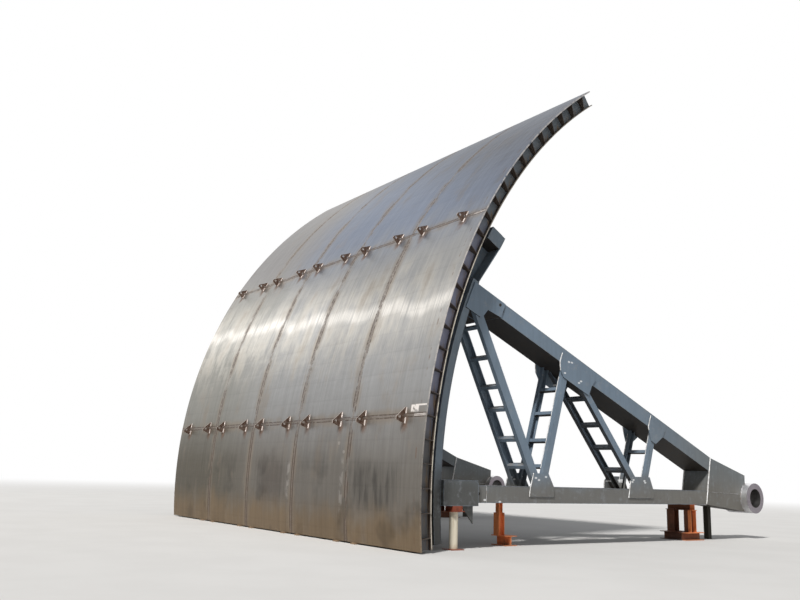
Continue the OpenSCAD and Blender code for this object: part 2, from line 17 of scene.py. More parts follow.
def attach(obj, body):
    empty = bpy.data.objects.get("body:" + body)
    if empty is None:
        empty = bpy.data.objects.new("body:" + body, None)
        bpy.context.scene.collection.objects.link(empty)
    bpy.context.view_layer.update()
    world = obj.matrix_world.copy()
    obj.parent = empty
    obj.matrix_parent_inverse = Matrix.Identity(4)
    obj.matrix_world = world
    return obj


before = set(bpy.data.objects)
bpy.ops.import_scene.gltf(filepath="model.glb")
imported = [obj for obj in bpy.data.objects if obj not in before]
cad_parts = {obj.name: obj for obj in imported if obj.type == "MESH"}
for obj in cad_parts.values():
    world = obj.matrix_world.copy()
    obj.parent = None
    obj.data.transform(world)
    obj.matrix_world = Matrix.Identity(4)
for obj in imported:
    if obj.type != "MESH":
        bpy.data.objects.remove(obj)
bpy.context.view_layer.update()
LOG = logging.getLogger("radial_gate")

Rgb = tuple[float, float, float]
Place = tuple[float, float, float]
Spots = tuple[tuple[float, float], ...]
Path = list[Vector]
Socket = bpy.types.NodeSocket
Material = bpy.types.Material
SIDES = (-1, 1)


@dataclass(frozen=True)
class GateSizes:
    """Sizes of the gate in metres and degrees, the same as in the part's source."""

    width: float = 12.5
    skin_r: float = 12.05
    skin_t: float = 0.030
    axis_z: float = 1.095
    sill_gap: float = 0.030
    top_a: float = 53.6
    joint_low_a: float = 7.2
    joint_high_a: float = 29.55
    seam_edge: float = 2.630
    seam_mid: float = 1.205
    ribs_mid: int = 10
    rib_room: float = 0.3
    rib_t: float = 0.012
    girder_d: float = 0.320
    edge_recess: float = 0.200
    edge_flange_w: float = 0.200
    bracket_t: float = 0.016
    arm_inset: float = 0.985
    arm_w: float = 0.770
    arm_girder_r: float = 11.08
    arm_girder_box: float = 0.180
    arm_box_top_a: float = 24.0
    top_beam_a: float = 30.2
    top_beam_h: float = 0.330
    top_beam_d: float = 0.420
    arm_flare: float = 0.150
    main_d: float = 0.920
    upper_d: float = 0.850
    main_low: float = 0.235
    main_high: float = 0.275
    main_end: float = 0.090
    chord_a: float = 22.8
    chord_h: float = 0.345
    box_len: float = 2.240
    low_1: float = 2.830
    up_2: float = 3.720
    low_2: float = 6.290
    up_3: float = 6.850
    bar_2_w: float = 0.170
    bar_4_w: float = 0.140
    bar_d: float = 0.110
    gusset_t: float = 0.025
    gusset_reach: float = 0.470
    hub_r: float = 0.405
    bore_r: float = 0.250
    hub_l: float = 0.770
    box_end: float = 0.130
    box_end_low: float = 0.367
    box_tip_w: float = 0.300
    dog_l: float = 0.330
    dog_h: float = 0.210
    dog_nose: float = 0.060
    dog_drop: float = 0.085
    dog_t: float = 0.020
    dog_hole_r: float = 0.040
    dog_off: float = 0.480
    dog_edge: float = 0.690
    pipe_pack: float = 0.100
    stand_t: float = 0.016
    post_off: float = 0.850
    post_w: float = 0.140
    post_side: float = 0.205

    @property
    def axis_x(self) -> float:
        """Place of the trunnion axis along X.

        Returns:
            The place, half-way between the foremost dog or skin and the hubs.
        """
        low = math.radians(self.joint_low_a)
        nose = (self.dog_drop + self.dog_nose / 2) * math.sin(low)
        reach = (self.skin_r + self.dog_h) * math.cos(low) + nose
        return (max(self.skin_r, reach) - self.hub_r) / 2

    @property
    def sill_a(self) -> float:
        """Angle of the skin's lower edge."""
        return -math.degrees(math.asin((self.axis_z - self.sill_gap) / self.skin_r))

    @property
    def pitch_a(self) -> float:
        """Angle between two ribs."""
        return (self.joint_high_a - self.joint_low_a) / self.ribs_mid

    @property
    def joints(self) -> tuple[float, float]:
        """Angles of the two field joints."""
        return self.joint_low_a, self.joint_high_a

    @property
    def joint_arcs(self) -> list[float]:
        """Places of the two field joints up the skin."""
        return [math.radians(a) * self.skin_r for a in self.joints]

    @property
    def in_r(self) -> float:
        """Radius of the skin's inner face."""
        return self.skin_r - self.skin_t

    @property
    def rear_r(self) -> float:
        """Radius of the curved girders' rear face."""
        return self.in_r - self.girder_d

    @property
    def edge_y(self) -> float:
        """Plane of the side girders' webs."""
        return self.width / 2 - self.edge_recess

    @property
    def arm_y(self) -> float:
        """Middle plane of an arm."""
        return self.width / 2 - self.arm_inset

    @property
    def arm_out(self) -> float:
        """Outer face plane of an arm."""
        return self.arm_y + self.arm_w / 2

    @property
    def arm_in(self) -> float:
        """Inner face plane of an arm."""
        return self.arm_y - self.arm_w / 2

    def arm_planes(self, inset: float) -> list[float]:
        """Y of the side faces of both arms, moved into the arm by an inset."""
        return [side * y for side in SIDES for y in (self.arm_in + inset, self.arm_out - inset)]

    def seams(self) -> list[float]:
        """Y of the seams between plate columns."""
        out = self.width / 2 - self.seam_edge
        return [-out, -self.seam_mid, self.seam_mid, out]

    def dogs(self) -> list[float]:
        """Places of the joint dogs, two to a plate column.

        Returns:
            The Y of each.
        """
        places = [self.width / 2 - self.dog_edge]
        for seam in self.seams()[2:]:
            places += [seam - self.dog_off, seam + self.dog_off]
        return [side * place for side in SIDES for place in places]

    def rib_angles(self) -> list[float]:
        """Angles of all ribs.

        Returns:
            The angles, bottom to top.
        """
        low = math.floor((self.joint_low_a - self.sill_a) / self.pitch_a - self.rib_room)
        top = math.floor((self.top_a - self.joint_high_a) / self.pitch_a - self.rib_room)
        return [self.joint_low_a + i * self.pitch_a for i in range(-low, self.ribs_mid + top + 1)]

    def beside(self, s: float, n: float, a: float, y: float) -> Vector:
        """A point beside a radial line.

        Args:
            s: distance from the trunnion axis along the line.
            n: distance above the line.
            a: the line's angle.
            y: plane across the gate.

        Returns:
            The point.
        """
        turn = math.radians(a)
        return Vector((
            self.axis_x - s * math.cos(turn) + n * math.sin(turn), y,
            self.axis_z + s * math.sin(turn) + n * math.cos(turn)))

    def polar(self, r: float, a: float, y: float) -> Vector:
        """Point at radius r and angle a about the trunnion axis, in plane y."""
        return self.beside(r, 0.0, a, y)

    def arc(self, r: float, low: float, high: float, y: float, steps: int) -> Path:
        """An arc about the trunnion axis in plane y."""
        return [self.polar(r, low + (high - low) * i / steps, y) for i in range(steps + 1)]

    def from_axis(self, places: Spots) -> Spots:
        """X and Z of places that are given from the trunnion axis."""
        return tuple((self.axis_x + x, self.axis_z + up) for x, up in places)


SIZES = GateSizes()


# Node trees


class Term:
    """A number that varies over a surface or a mesh. Python sums on it add Math nodes."""

    def __init__(self, graph: "Graph", socket: Socket) -> None:
        """Wraps an output socket of a graph."""
        self.graph = graph
        self.socket = socket

    def __add__(self, other: "Value") -> "Term":
        """Sum."""
        return self.graph.math("ADD", self, other)

    __radd__ = __add__

    def __mul__(self, other: "Value") -> "Term":
        """Product."""
        return self.graph.math("MULTIPLY", self, other)

    __rmul__ = __mul__

    def __sub__(self, other: "Value") -> "Term":
        """Difference."""
        return self.graph.math("SUBTRACT", self, other)

    def __rsub__(self, other: float) -> "Term":
        """Difference from a number."""
        return self.graph.math("SUBTRACT", other, self)

    def __truediv__(self, other: "Value") -> "Term":
        """Quotient."""
        return self.graph.math("DIVIDE", self, other)

    def __abs__(self) -> "Term":
        """The size without its sign."""
        return self.graph.math("ABSOLUTE", self)


Value = Term | float
Colour = Socket | Rgb


class Graph:
    """A node tree that is built node by node."""

    def __init__(self, tree: bpy.types.NodeTree) -> None:
        """Takes a tree and empties it."""
        self.tree = tree
        self.tree.nodes.clear()

    def add(self, kind: str, settings: dict | None = None, sockets: dict | None = None) -> bpy.types.Node:
        """Adds a node.

        Args:
            kind: the node's type.
            settings: its properties, set first.
            sockets: values or links of its inputs, by name or number.

        Returns:
            The node.
        """
        node = self.tree.nodes.new(kind)
        for key, value in (settings or {}).items():
            setattr(node, key, value)
        for key, value in (sockets or {}).items():
            self.feed(node.inputs[key], value)
        return node

    def feed(self, target: Socket, value: object) -> None:
        """Links or sets one input socket.

        Args:
            target: the input socket.
            value: a term or socket to link, a colour or another value to set.
        """
        if isinstance(value, Term):
            value = value.socket
        if isinstance(value, Socket):
            self.tree.links.new(value, target)
        elif target.type == "RGBA":
            target.default_value = (*value, 1.0)
        else:
            target.default_value = value

    def math(self, operation: str, *values: Value) -> Term:
        """A Math node on up to three numbers."""
        node = self.add("ShaderNodeMath", {"operation": operation}, dict(enumerate(values)))
        return Term(self, node.outputs[0])

    def most(self, one: Value, two: Value) -> Term:
        """The larger of two numbers."""
        return self.math("MAXIMUM", one, two)

    def least(self, one: Value, two: Value) -> Term:
        """The smaller of two numbers."""
        return self.math("MINIMUM", one, two)

    def vector(self, x: Value, y: Value, z: Value = 0.0) -> Socket:
        """A vector out of three numbers."""
        return self.add("ShaderNodeCombineXYZ", None, {0: x, 1: y, 2: z}).outputs[0]

    def blend(self, share: Value, one: Socket, two: Socket) -> Socket:
        """Mixes two shaders; at share 0 it is the first."""
        return self.add("ShaderNodeMixShader", None, {0: share, 1: one, 2: two}).outputs[0]


class Surface(Graph):
    """The node tree of one material."""

    def __init__(self, name: str) -> None:
        """Makes an empty material.

        Args:
            name: its name.
        """
        self.material = bpy.data.materials.new(name)
        self.material.use_nodes = True
        super().__init__(self.material.node_tree)

    def smooth(self, value: Value, low: Value, high: Value) -> Term:
        """A soft step; low may be the larger.

        Args:
            value: the number that is stepped.
            low: where the step is 0.
            high: where the step is 1.

        Returns:
            The step from 0 to 1.
        """
        node = self.add("ShaderNodeMapRange", {"interpolation_type": "SMOOTHSTEP"},
                        {0: value, 1: low, 2: high, 3: 0.0, 4: 1.0})
        return Term(self, node.outputs[0])

    def noise(self, place: Socket, scale: float, detail: float = 3.0, rough: float = 0.55) -> Term:
        """Fractal noise.

        Args:
            place: where it is read.
            scale: how fine it is.
            detail: its octaves.
            rough: share of the finer octaves.

        Returns:
            A number from 0 to 1 about 0.5.
        """
        node = self.add("ShaderNodeTexNoise", {"noise_dimensions": "3D"},
                        {"Vector": place, "Scale": scale, "Detail": detail, "Roughness": rough})
        return Term(self, node.outputs[0])

    def streaks(self, x: Value, y: Value, z: Value = 0.0, detail: float = 3.0, rough: float = 0.55) -> Term:
        """Noise on three numbers, each scaled by the caller."""
        return self.noise(self.vector(x, y, z), 1.0, detail, rough)

    def chance(self, place: Socket) -> Term:
        """A random number from 0 to 1 for each place."""
        node = self.add("ShaderNodeTexWhiteNoise", {"noise_dimensions": "3D"}, {"Vector": place})
        return Term(self, node.outputs[0])

    def span(self, one: Term, two: Term) -> Term:
        """Length of a line from its two components."""
        return self.math("SQRT", one * one + two * two)

    def mix(self, share: Value, one: Colour, two: Colour) -> Socket:
        """Mixes two colours.

        Args:
            share: how much of the second, from 0 to 1.
            one: the first colour.
            two: the second colour.

        Returns:
            The colour.
        """
        node = self.add("ShaderNodeMix", {"data_type": "RGBA", "clamp_factor": True},
                        {0: share, 6: one, 7: two})
        return node.outputs[2]

    def shade(self, tint: Colour, light: Value) -> Socket:
        """Scales a colour's brightness."""
        return self.add("ShaderNodeVectorMath", {"operation": "SCALE"}, {0: tint, 3: light}).outputs[0]

    def coats(self, tint: Colour, *coats: tuple[Value, Colour]) -> Colour:
        """Lays colours over a first one.

        Args:
            tint: the first colour.
            coats: share and colour of each further one.

        Returns:
            The colour of all together.
        """
        for share, coat in coats:
            tint = self.mix(share, tint, coat)
        return tint

    def place(self) -> tuple[Socket, Term, Term, Term]:
        """Reads the object coordinates.

        Returns:
            The place as a vector and as three numbers.
        """
        here = self.add("ShaderNodeTexCoord").outputs["Object"]
        split = self.add("ShaderNodeSeparateXYZ", None, {0: here})
        return here, *(Term(self, out) for out in split.outputs)

    def facing(self, axis: int) -> Term:
        """How far the surface faces along an axis, from -1 to 1."""
        normal = self.add("ShaderNodeNewGeometry").outputs["Normal"]
        return Term(self, self.add("ShaderNodeSeparateXYZ", None, {0: normal}).outputs[axis])

    def spots(self, one: Value, two: Value, places: Spots, wide: float, high: float) -> Term:
        """Small ragged ovals about places on a face.

        Args:
            one: first coordinate on the face.
            two: second coordinate.
            places: middles of the ovals.
            wide: half width of each.
            high: half height of each.

        Returns:
            1 inside an oval, 0 outside all.
        """
        nearest: Value = 9.0
        for at, up in places:
            across, rise = (one - at) / wide, (two - up) / high
            nearest = self.least(across * across + rise * rise, nearest)
        ragged = self.noise(self.vector(one, two), 22.0)
        return self.smooth(nearest + (ragged - 0.5) * 1.6, 1.15, 0.75)

    def close(self, tint: Colour, rough: Value, metal: Value, height: Value,
              relief: float, gloss: float = 0.5) -> Material:
        """Closes the material.

        Args:
            tint: base colour.
            rough: roughness.
            metal: metallic share.
            height: bump height from 0 to 1.
            relief: depth of the bump in metres.
            gloss: specular level of the paint or metal.

        Returns:
            The finished material.
        """
        bump = self.add("ShaderNodeBump", None, {"Strength": 1.0, "Distance": relief, "Height": height})
        shader = self.add("ShaderNodeBsdfPrincipled", None, {
            "Base Color": tint, "Roughness": rough, "Metallic": metal, "Specular IOR Level": gloss,
            "Normal": bump.outputs[0]})
        self.add("ShaderNodeOutputMaterial", None, {0: shader.outputs[0]})
        return self.material


# Finishes


@dataclass(frozen=True)
class SkinSteel:
    """Bare rolled plate of the skin: mill scale, rolling streaks, ground seams and rust at the dogs, with
    painted reflections of a brown ground low down and of the sky on the top ring, and a painted highlight
    band.

    Places on it are Y across the gate and the arc in metres up from the trunnion axis's height.
    """

    sizes: GateSizes
    # foot, low, low_far and high carry painted reflections of a brown ground and of the sky; worn is a
    # painted highlight
    foot: Rgb = (0.205, 0.140, 0.076)
    low: Rgb = (0.170, 0.154, 0.134)
    low_far: Rgb = (0.106, 0.093, 0.070)
    middle: Rgb = (0.308, 0.306, 0.302)
    middle_far: Rgb = (0.235, 0.229, 0.205)
    high: Rgb = (0.190, 0.225, 0.300)
    high_far: Rgb = (0.240, 0.230, 0.225)
    worn: Rgb = (0.500, 0.468, 0.412)
    warm: Rgb = (0.250, 0.200, 0.150)
    ground: Rgb = (0.380, 0.350, 0.320)
    line: Rgb = (0.060, 0.038, 0.027)
    rust: Rgb = (0.120, 0.062, 0.034)
    bright: Rgb = (0.750, 0.690, 0.640)
    glare: Rgb = (0.720, 0.688, 0.640)
    stain: Rgb = (0.062, 0.046, 0.036)
    ridge_at: float = 4.28
    wet_y: float = -4.6
    stain_at: tuple[float, float] = (-0.1, 0.20)
    patch_at: tuple[float, float] = (-5.86, 1.65)
    tail_at: tuple[float, float] = (-6.05, 1.71)
    scuffs: Spots = ((-3.19, 0.99), (-3.42, 0.80))

    def glow(self, g: Surface, y: Term, arc: Term, tone: Term, grain: Term) -> Term:
        """A narrow wavy ridge of light, set off at each seam, in a faint halo.

        Args:
            g: the graph.
            y: place across the gate.
            arc: place up the skin.
            tone: a random number for each plate.
            grain: streaks that break up the light.

        Returns:
            How strong the light is.
        """
        ridge = self.ridge_at + (g.streaks(y * 0.85, 0.0, 6.0) - 0.5) * 0.85 + (tone - 0.5) * 0.45
        ridge = ridge - g.smooth(y, -3.2, -4.2) * 0.34
        core = g.smooth(arc, ridge - 0.24, ridge - 0.02) * g.smooth(arc, ridge + 0.30, ridge + 0.04)
        halo = g.smooth(arc, ridge - 1.0, ridge) * g.smooth(arc, ridge + 0.9, ridge)
        light = (core * 0.70 + halo * 0.35) * g.smooth(grain, 0.40, 0.82)
        return light * (1.0 - g.smooth(y, 1.5, 5.5) * 0.25)

    def plates(self, g: Surface, y: Term, arc: Term) -> tuple[Socket, Term, Term]:
        """Tones of the rolled plates, with painted reflections of a brown ground and of the sky, and a
        painted highlight band.

        Args:
            g: the graph.
            y: place across the gate.
            arc: place up the skin.

        Returns:
            The colour, its brightness, and how far up the lighter rings a place lies.
        """
        z = self.sizes
        drift = g.noise(g.vector(y, arc), 0.45, 4.0) - 0.5
        patch = g.streaks(y * 1.6, arc * 0.7, 7.0, 5.0, 0.62)
        sway = patch - 0.5
        broad = g.streaks(y * 6.0, arc * 0.35, 4.0, 3.0, 0.6) - 0.5
        streak = g.streaks(y * 26.0, arc * 0.55, 0.0, 4.0, 0.6)
        fine = g.streaks(y * 120.0, arc * 5.0, 0.0, 3.0, 0.6) - 0.5
        column = sum(g.math("GREATER_THAN", y, seam) for seam in z.seams())
        ring = sum(g.math("GREATER_THAN", arc, joint) for joint in z.joint_arcs)
        tone = g.chance(g.vector(column, ring, 3.0))
        climb = g.smooth(arc + drift * 1.4, 0.3, 2.3)
        aside = y + drift * 2.0
        far = g.smooth(aside, -0.5, 4.0)
        # painted highlight: a cream band across the middle ring, fading out on the nearest column
        highlight_band = g.smooth(arc + sway * 2.2, 2.3, 3.9) * g.smooth(arc + drift * 2.0, 6.0, 4.4)
        highlight_band = highlight_band * g.smooth(aside, -7.5, -4.0) * g.smooth(patch, 0.36, 0.60)
        # painted reflections: the lower ring darker and the foot brown for a brown ground, the top ring
        # bluish for the sky
        body = g.coats(
            g.mix(far, self.low, self.low_far),
            (g.smooth(arc + sway * 1.2, -0.05, -0.85) * 0.80, self.foot),
            (climb, g.mix(far, self.middle, self.middle_far)),
            (g.smooth(arc + sway * 2.4, 5.0, 7.2), g.mix(far, self.high, self.high_far)),
            (highlight_band * 0.75, self.worn),
            (self.glow(g, y, arc, tone, streak + patch * 0.5), self.glare),
            (g.smooth(patch, 0.52, 0.72) * 0.45, self.warm))
        light = 0.86 + tone * 0.16 + broad * 0.36 + (streak - 0.5) * 0.34 + fine * 0.20
        light = light * (1.0 - g.smooth(arc - y * 0.45 + sway * 1.5, 8.2, 12.0) * 0.56)

        # dark wet-looking streaks, blotches and a stain near the sill
        wet = g.smooth(arc, 0.75, 0.35) * g.smooth(arc, -0.55, -0.15)
        drip = g.smooth(g.streaks(y * 4.5, arc * 0.8, 2.0), 0.40, 0.62) * 0.75 + 0.35
        drip = drip * g.smooth(abs(y - self.wet_y) + broad * 0.8, 1.10, 0.45)
        blotch = g.smooth(g.streaks(y * 1.1, arc * 0.9, 9.0), 0.52, 0.68)
        light = light * (1.0 - wet * drip * 0.50) * (1.0 - g.smooth(arc, 1.1, 0.2) * blotch * 0.30)
        stain = g.smooth(abs(y - self.stain_at[0]) + broad * 1.2, 1.05, 0.30)
        stain = stain * g.smooth(abs(arc - self.stain_at[1]) + sway * 1.4, 0.75, 0.15)
        return g.mix(stain * 0.50, body, self.stain), light, climb

    def dress(self) -> Material:
        """Makes the material.

        Returns:
            The material.
        """
        z = self.sizes
        g = Surface("skin_mill_scale_steel")
        _, x, y, up = g.place()
        arc = g.math("ARCTAN2", up - z.axis_z, z.axis_x - x) * z.skin_r
        arc_low, arc_high = z.joint_arcs
        sheet = g.vector(y, arc)
        across = abs(y)
        wander = (g.noise(sheet, 2.5, 4.0) - 0.5) * 0.024
        grain = g.noise(sheet, 9.0, 5.0, 0.7)
        body, light, climb = self.plates(g, y, arc)

        # faint lines where the ribs are welded behind the plate
        step = math.radians(z.pitch_a) * z.skin_r
        turn = (arc - arc_low) / step
        rib = abs(turn - g.math("ROUND", turn)) * step
        light = light * (1.0 - g.smooth(rib + wander, 0.030, 0.004) * 0.045)

        # seams and joints: a strip between two brown lines, heat tint outside
        mid, out = z.seams()[2:]
        seam = g.least(abs(across - mid), abs(across - out)) + wander * 0.5
        stretch = g.streaks(y * 2.0, arc * 1.6, 8.0)
        line = g.smooth(abs(seam - 0.048) - stretch * 0.020, 0.024, 0.000) * g.smooth(stretch, 0.34, 0.48)
        strip = g.smooth(seam, 0.046, 0.026) * (0.06 + climb * 0.55)
        off = g.least(abs(arc - arc_low), abs(arc - arc_high))
        joint = off + wander * 0.4
        joint_line = g.smooth(abs(joint - 0.033), 0.022, 0.008) * g.smooth(stretch, 0.28, 0.42)
        joint_strip = g.smooth(joint, 0.026, 0.014) * 0.45
        heat = g.most(g.smooth(seam, 0.26, 0.07), g.smooth(joint, 0.22, 0.05))

        # ground patches on the inner side of the seams, low down
        beside = g.least(abs(y + (mid - 0.22)), abs(y + (out - 0.22)))
        scuff = g.smooth(beside, 0.10, 0.03) * g.smooth(arc, 0.75, 0.55) * g.smooth(arc, -0.7, -0.3)
        scuff = scuff * g.smooth(g.streaks(y * 3.0, arc * 3.5, 1.0), 0.46, 0.58)
        scuff = g.most(scuff, g.spots(y, arc, self.scuffs, 0.05, 0.04))

        # the side girder's web shows as a broken row of marks
        side = g.smooth(abs(across - z.edge_y) + wander * 0.5, 0.028, 0.010)
        side = side * g.smooth(g.streaks(y, arc * 3.1, 5.0, 2.0), 0.50, 0.62)

        # dogs: bright metal beside the feet, rust round them and a streak below
        first, *others = sorted({round(abs(v), 4) for v in z.dogs()})
        near = abs(across - first)
        for at in others:
            near = g.least(near, abs(across - at))
        foot = g.smooth(near, 0.050, 0.034) * g.smooth(off, z.dog_l / 2 + 0.004, z.dog_l / 2 - 0.012)
        foot = foot * g.smooth(off, z.dog_hole_r - 0.004, z.dog_hole_r + 0.008) * g.smooth(grain, 0.22, 0.42)
        drop = g.least(abs(arc - arc_low + 0.12), abs(arc - arc_high + 0.12))
        spot = g.math("SQRT", near * near + drop * drop * 0.35)
        spot = g.smooth(spot + (g.noise(sheet, 5.0, 4.0) - 0.5) * 0.18, 0.18, 0.03)

        # a dressed patch and line at the right end of the lower joint, flame-cut side edges
        (patch_y, patch_arc), (tail_y, tail_arc) = self.patch_at, self.tail_at
        dressed = g.smooth(abs(y - patch_y), 0.135, 0.115) * g.smooth(abs(arc - patch_arc), 0.080, 0.062)
        tail = g.most(g.smooth(abs(arc - tail_arc), 0.022, 0.010), g.smooth(joint, 0.024, 0.012))
        tail = g.smooth(abs(y - tail_y), 0.20, 0.17) * tail * g.smooth(grain, 0.24, 0.42)
        dressed = g.most(dressed * g.smooth(grain, 0.36, 0.50), tail)
        edge = g.smooth(across, z.width / 2 - 0.006, z.width / 2 - 0.001)
        edge = edge * g.smooth(grain, 0.30, 0.56) * (0.20 + climb * 0.80)

        low = 1.0 - climb
        rusty = g.most(side * 0.55, spot * 0.85)
        line = line * g.smooth(grain + low * 0.15, 0.36, 0.58)
        dark = g.most(line, joint_line * g.smooth(grain, 0.32, 0.54))
        shine = g.most(g.most(foot, dressed), edge * 0.50)
        body = g.coats(body, (heat * g.smooth(stretch, 0.36, 0.60) * 0.62, self.warm),
                       (g.most(strip, joint_strip), self.ground), (scuff * 0.50, self.ground))
        body = g.coats(g.shade(body, light), (rusty, self.rust),
                       (dark * 0.88, self.line), (shine, self.bright))
        streak = g.streaks(y * 20.0, arc * 0.7, 3.0, 4.0, 0.6)
        rough = 0.42 + (streak - 0.5) * 0.26 + rusty * 0.28 + dark * 0.25 + low * 0.12
        metal = 0.92 - rusty * 0.70 - dark * 0.60 - shine * 0.45 - low * 0.22
        dent = g.streaks(y * 0.9, arc * 2.2, 1.0, 2.0)
        height = dent * 0.7 + streak * 0.03 - g.smooth(rib, 0.11, 0.0) * 0.035 + rusty * grain * 0.12
        return g.close(body, rough, metal, height, 0.020)


@dataclass(frozen=True)
class DogSteel:
    """Flame-cut plate of the joint dogs: rusty brown faces darkened further as painted shade, bright edges
    all round, partly flame-cut metal and partly painted highlight.
    """

    face: Rgb = (0.100, 0.058, 0.040)
    worn: Rgb = (0.210, 0.155, 0.125)
    edge: Rgb = (0.450, 0.395, 0.355)

    def dress(self) -> Material:
        """Makes the material.

        Returns:
            The material.
        """
        g = Surface("joint_dog_steel")
        here, *_ = g.place()
        mottle = g.noise(here, 14.0, 5.0, 0.66)
        # edges that do not face sideways get a painted highlight over the flame-cut metal; the side faces
        # stay dark as painted shade
        rim = g.smooth(abs(g.facing(1)), 0.5, 0.3) * g.smooth(mottle, 0.22, 0.44)
        body = g.coats(self.face, (g.smooth(mottle, 0.42, 0.64), self.worn), (rim, self.edge))
        return g.close(body, 0.50 + (mottle - 0.5) * 0.24, 0.55, mottle, 0.0015)


@dataclass(frozen=True)
class Primer:
    """Matt shop primer on plate: sprayed patches, runs, dust on top, painted shade on faces that look down
    and in small holes, darker and browner low down as painted shade and ground bounce with some dust, scuffs
    to the steel.
    """

    name: str
    tint: Rgb = (0.170, 0.208, 0.245)
    tail: Rgb = (0.150, 0.162, 0.164)
    low_dust_and_shade: Rgb = (0.156, 0.143, 0.121)
    dust: Rgb = (0.250, 0.225, 0.190)
    scuff: Rgb = (0.245, 0.260, 0.275)
    soot_and_shade: Rgb = (0.019, 0.013, 0.008)
    thin_shade: Rgb = (0.040, 0.027, 0.015)
    rust: Rgb = (0.110, 0.058, 0.034)
    bare: Rgb = (0.800, 0.800, 0.790)
    rust_share: float = 0.30
    ground: Spots = ()
    holes: Spots = ()

    def dress(self) -> Material:
        """Makes the material.

        Returns:
            The material.
        """
        g = Surface(self.name)
        here, x, y, z = g.place()
        drift = g.noise(here, 0.9, 4.0) - 0.5
        mottle = g.noise(here, 7.0, 5.0, 0.62)
        runs = g.streaks(x * 14.0, y * 14.0, z * 0.9, 4.0)
        speck = g.noise(here, 55.0, 3.0, 0.6)
        facing = g.facing(2)
        dust = g.smooth(facing, 0.35, 0.95) * g.smooth(mottle, 0.30, 0.60)
        bare = g.smooth(g.noise(here, 2.6, 6.0, 0.68), 0.640, 0.700)
        rusty = g.smooth(g.noise(here, 4.2, 6.0, 0.70), 0.655, 0.715) * self.rust_share
        # painted shade on faces that look down
        underside_shade = g.mix(g.smooth(mottle, 0.40, 0.62) * 0.6, self.soot_and_shade, self.thin_shade)
        body = g.coats(
            self.tint,
            (g.smooth(x + drift * 2.0, 0.0, 4.6), self.tail),
            # darker and browner low down: painted shade and brown bounce light from the ground, with some
            # dust
            (g.smooth(z + drift, 1.9, 1.1) * 0.85, self.low_dust_and_shade),
            (g.smooth(mottle, 0.52, 0.70) * 0.38, self.scuff),
            (dust * 0.60, self.dust))
        light = 1.0 + drift * 0.40 + (runs - 0.5) * 0.30 + (speck - 0.5) * 0.12
        body = g.coats(g.shade(body, light), (bare * 0.45, self.scuff), (rusty, self.rust),
                       (g.smooth(facing, -0.40, -0.75) * 0.92, underside_shade))
        if self.ground:
            body = g.mix(g.spots(x, z, self.ground, 0.040, 0.022) * 0.8, body, self.bare)
        # small holes drawn as near-black spots: painted shade in the holes
        if self.holes:
            body = g.mix(g.spots(x, z, self.holes, 0.040, 0.036), body, self.soot_and_shade)
        rough = 0.56 + (mottle - 0.5) * 0.20 + dust * 0.18 - bare * 0.08
        height = mottle * 0.35 + speck * 0.25 + runs * 0.20 - bare * 0.15
        return g.close(body, rough, 0.04 + bare * 0.35, height, 0.0022, gloss=0.28)


@dataclass(frozen=True)
class SidePrimer:
    """Primer of the side girders, whose flange has a bare flame-cut edge with rust below it; faces that look
    down, the brackets and the flange's outer half get painted shade.
    """

    sizes: GateSizes
    tint: Rgb = (0.255, 0.262, 0.350)
    muddy: Rgb = (0.120, 0.116, 0.098)
    edge: Rgb = (0.600, 0.545, 0.455)
    rust: Rgb = (0.230, 0.155, 0.085)
    bracket_shade: Rgb = (0.062, 0.045, 0.034)
    upper: Rgb = (0.150, 0.172, 0.190)
    soot_and_shade: Rgb = (0.030, 0.022, 0.016)

    def dress(self) -> Material:
        """Makes the material.

        Returns:
            The material.
        """
        z = self.sizes
        g = Surface("side_girder_primer")
        here, x, y, up = g.place()
        radius = g.span(z.axis_x - x, up - z.axis_z)
        mottle = g.noise(here, 8.0, 5.0, 0.62)
        drift = g.noise(here, 1.1, 4.0) - 0.5
        runs = g.streaks(x * 16.0, y * 16.0, up * 1.1, 4.0)
        brim = z.edge_y + z.edge_flange_w / 2
        rim = g.smooth(abs(y), brim - 0.010, brim - 0.002)
        rim = rim * g.smooth(radius, z.rear_r + 0.030, z.rear_r + 0.022)
        stain = g.smooth(runs + mottle * 0.4, 0.66, 0.86) * g.smooth(radius, z.rear_r + 0.16, z.rear_r + 0.03)
        bare = rim * g.smooth(mottle, 0.30, 0.50) * (1.0 - g.smooth(up + drift * 1.5, 5.7, 6.6) * 0.7)
        body = g.coats(self.tint, (g.smooth(up + drift, 5.8, 7.2), self.upper),
                       (g.smooth(up + drift, 3.4, 1.8) * 0.8, self.muddy), (stain * 0.85, self.rust))
        body = g.coats(
            g.shade(body, 1.0 + drift * 0.45 + (mottle - 0.5) * 0.30),
            # painted shade on faces that look down, on the brackets and on the flange's outer half outside
            # the web's plane
            (g.smooth(g.facing(2), -0.35, -0.75) * 0.80, self.soot_and_shade),
            (g.smooth(abs(y), z.edge_y + 0.010, z.edge_y + 0.014) * 0.9, self.bracket_shade),
            (bare, self.edge))
        rough = 0.55 + (mottle - 0.5) * 0.2 - bare * 0.1
        return g.close(body, rough, 0.06 + bare * 0.45, mottle * 0.4 + runs * 0.3, 0.0022, gloss=0.28)


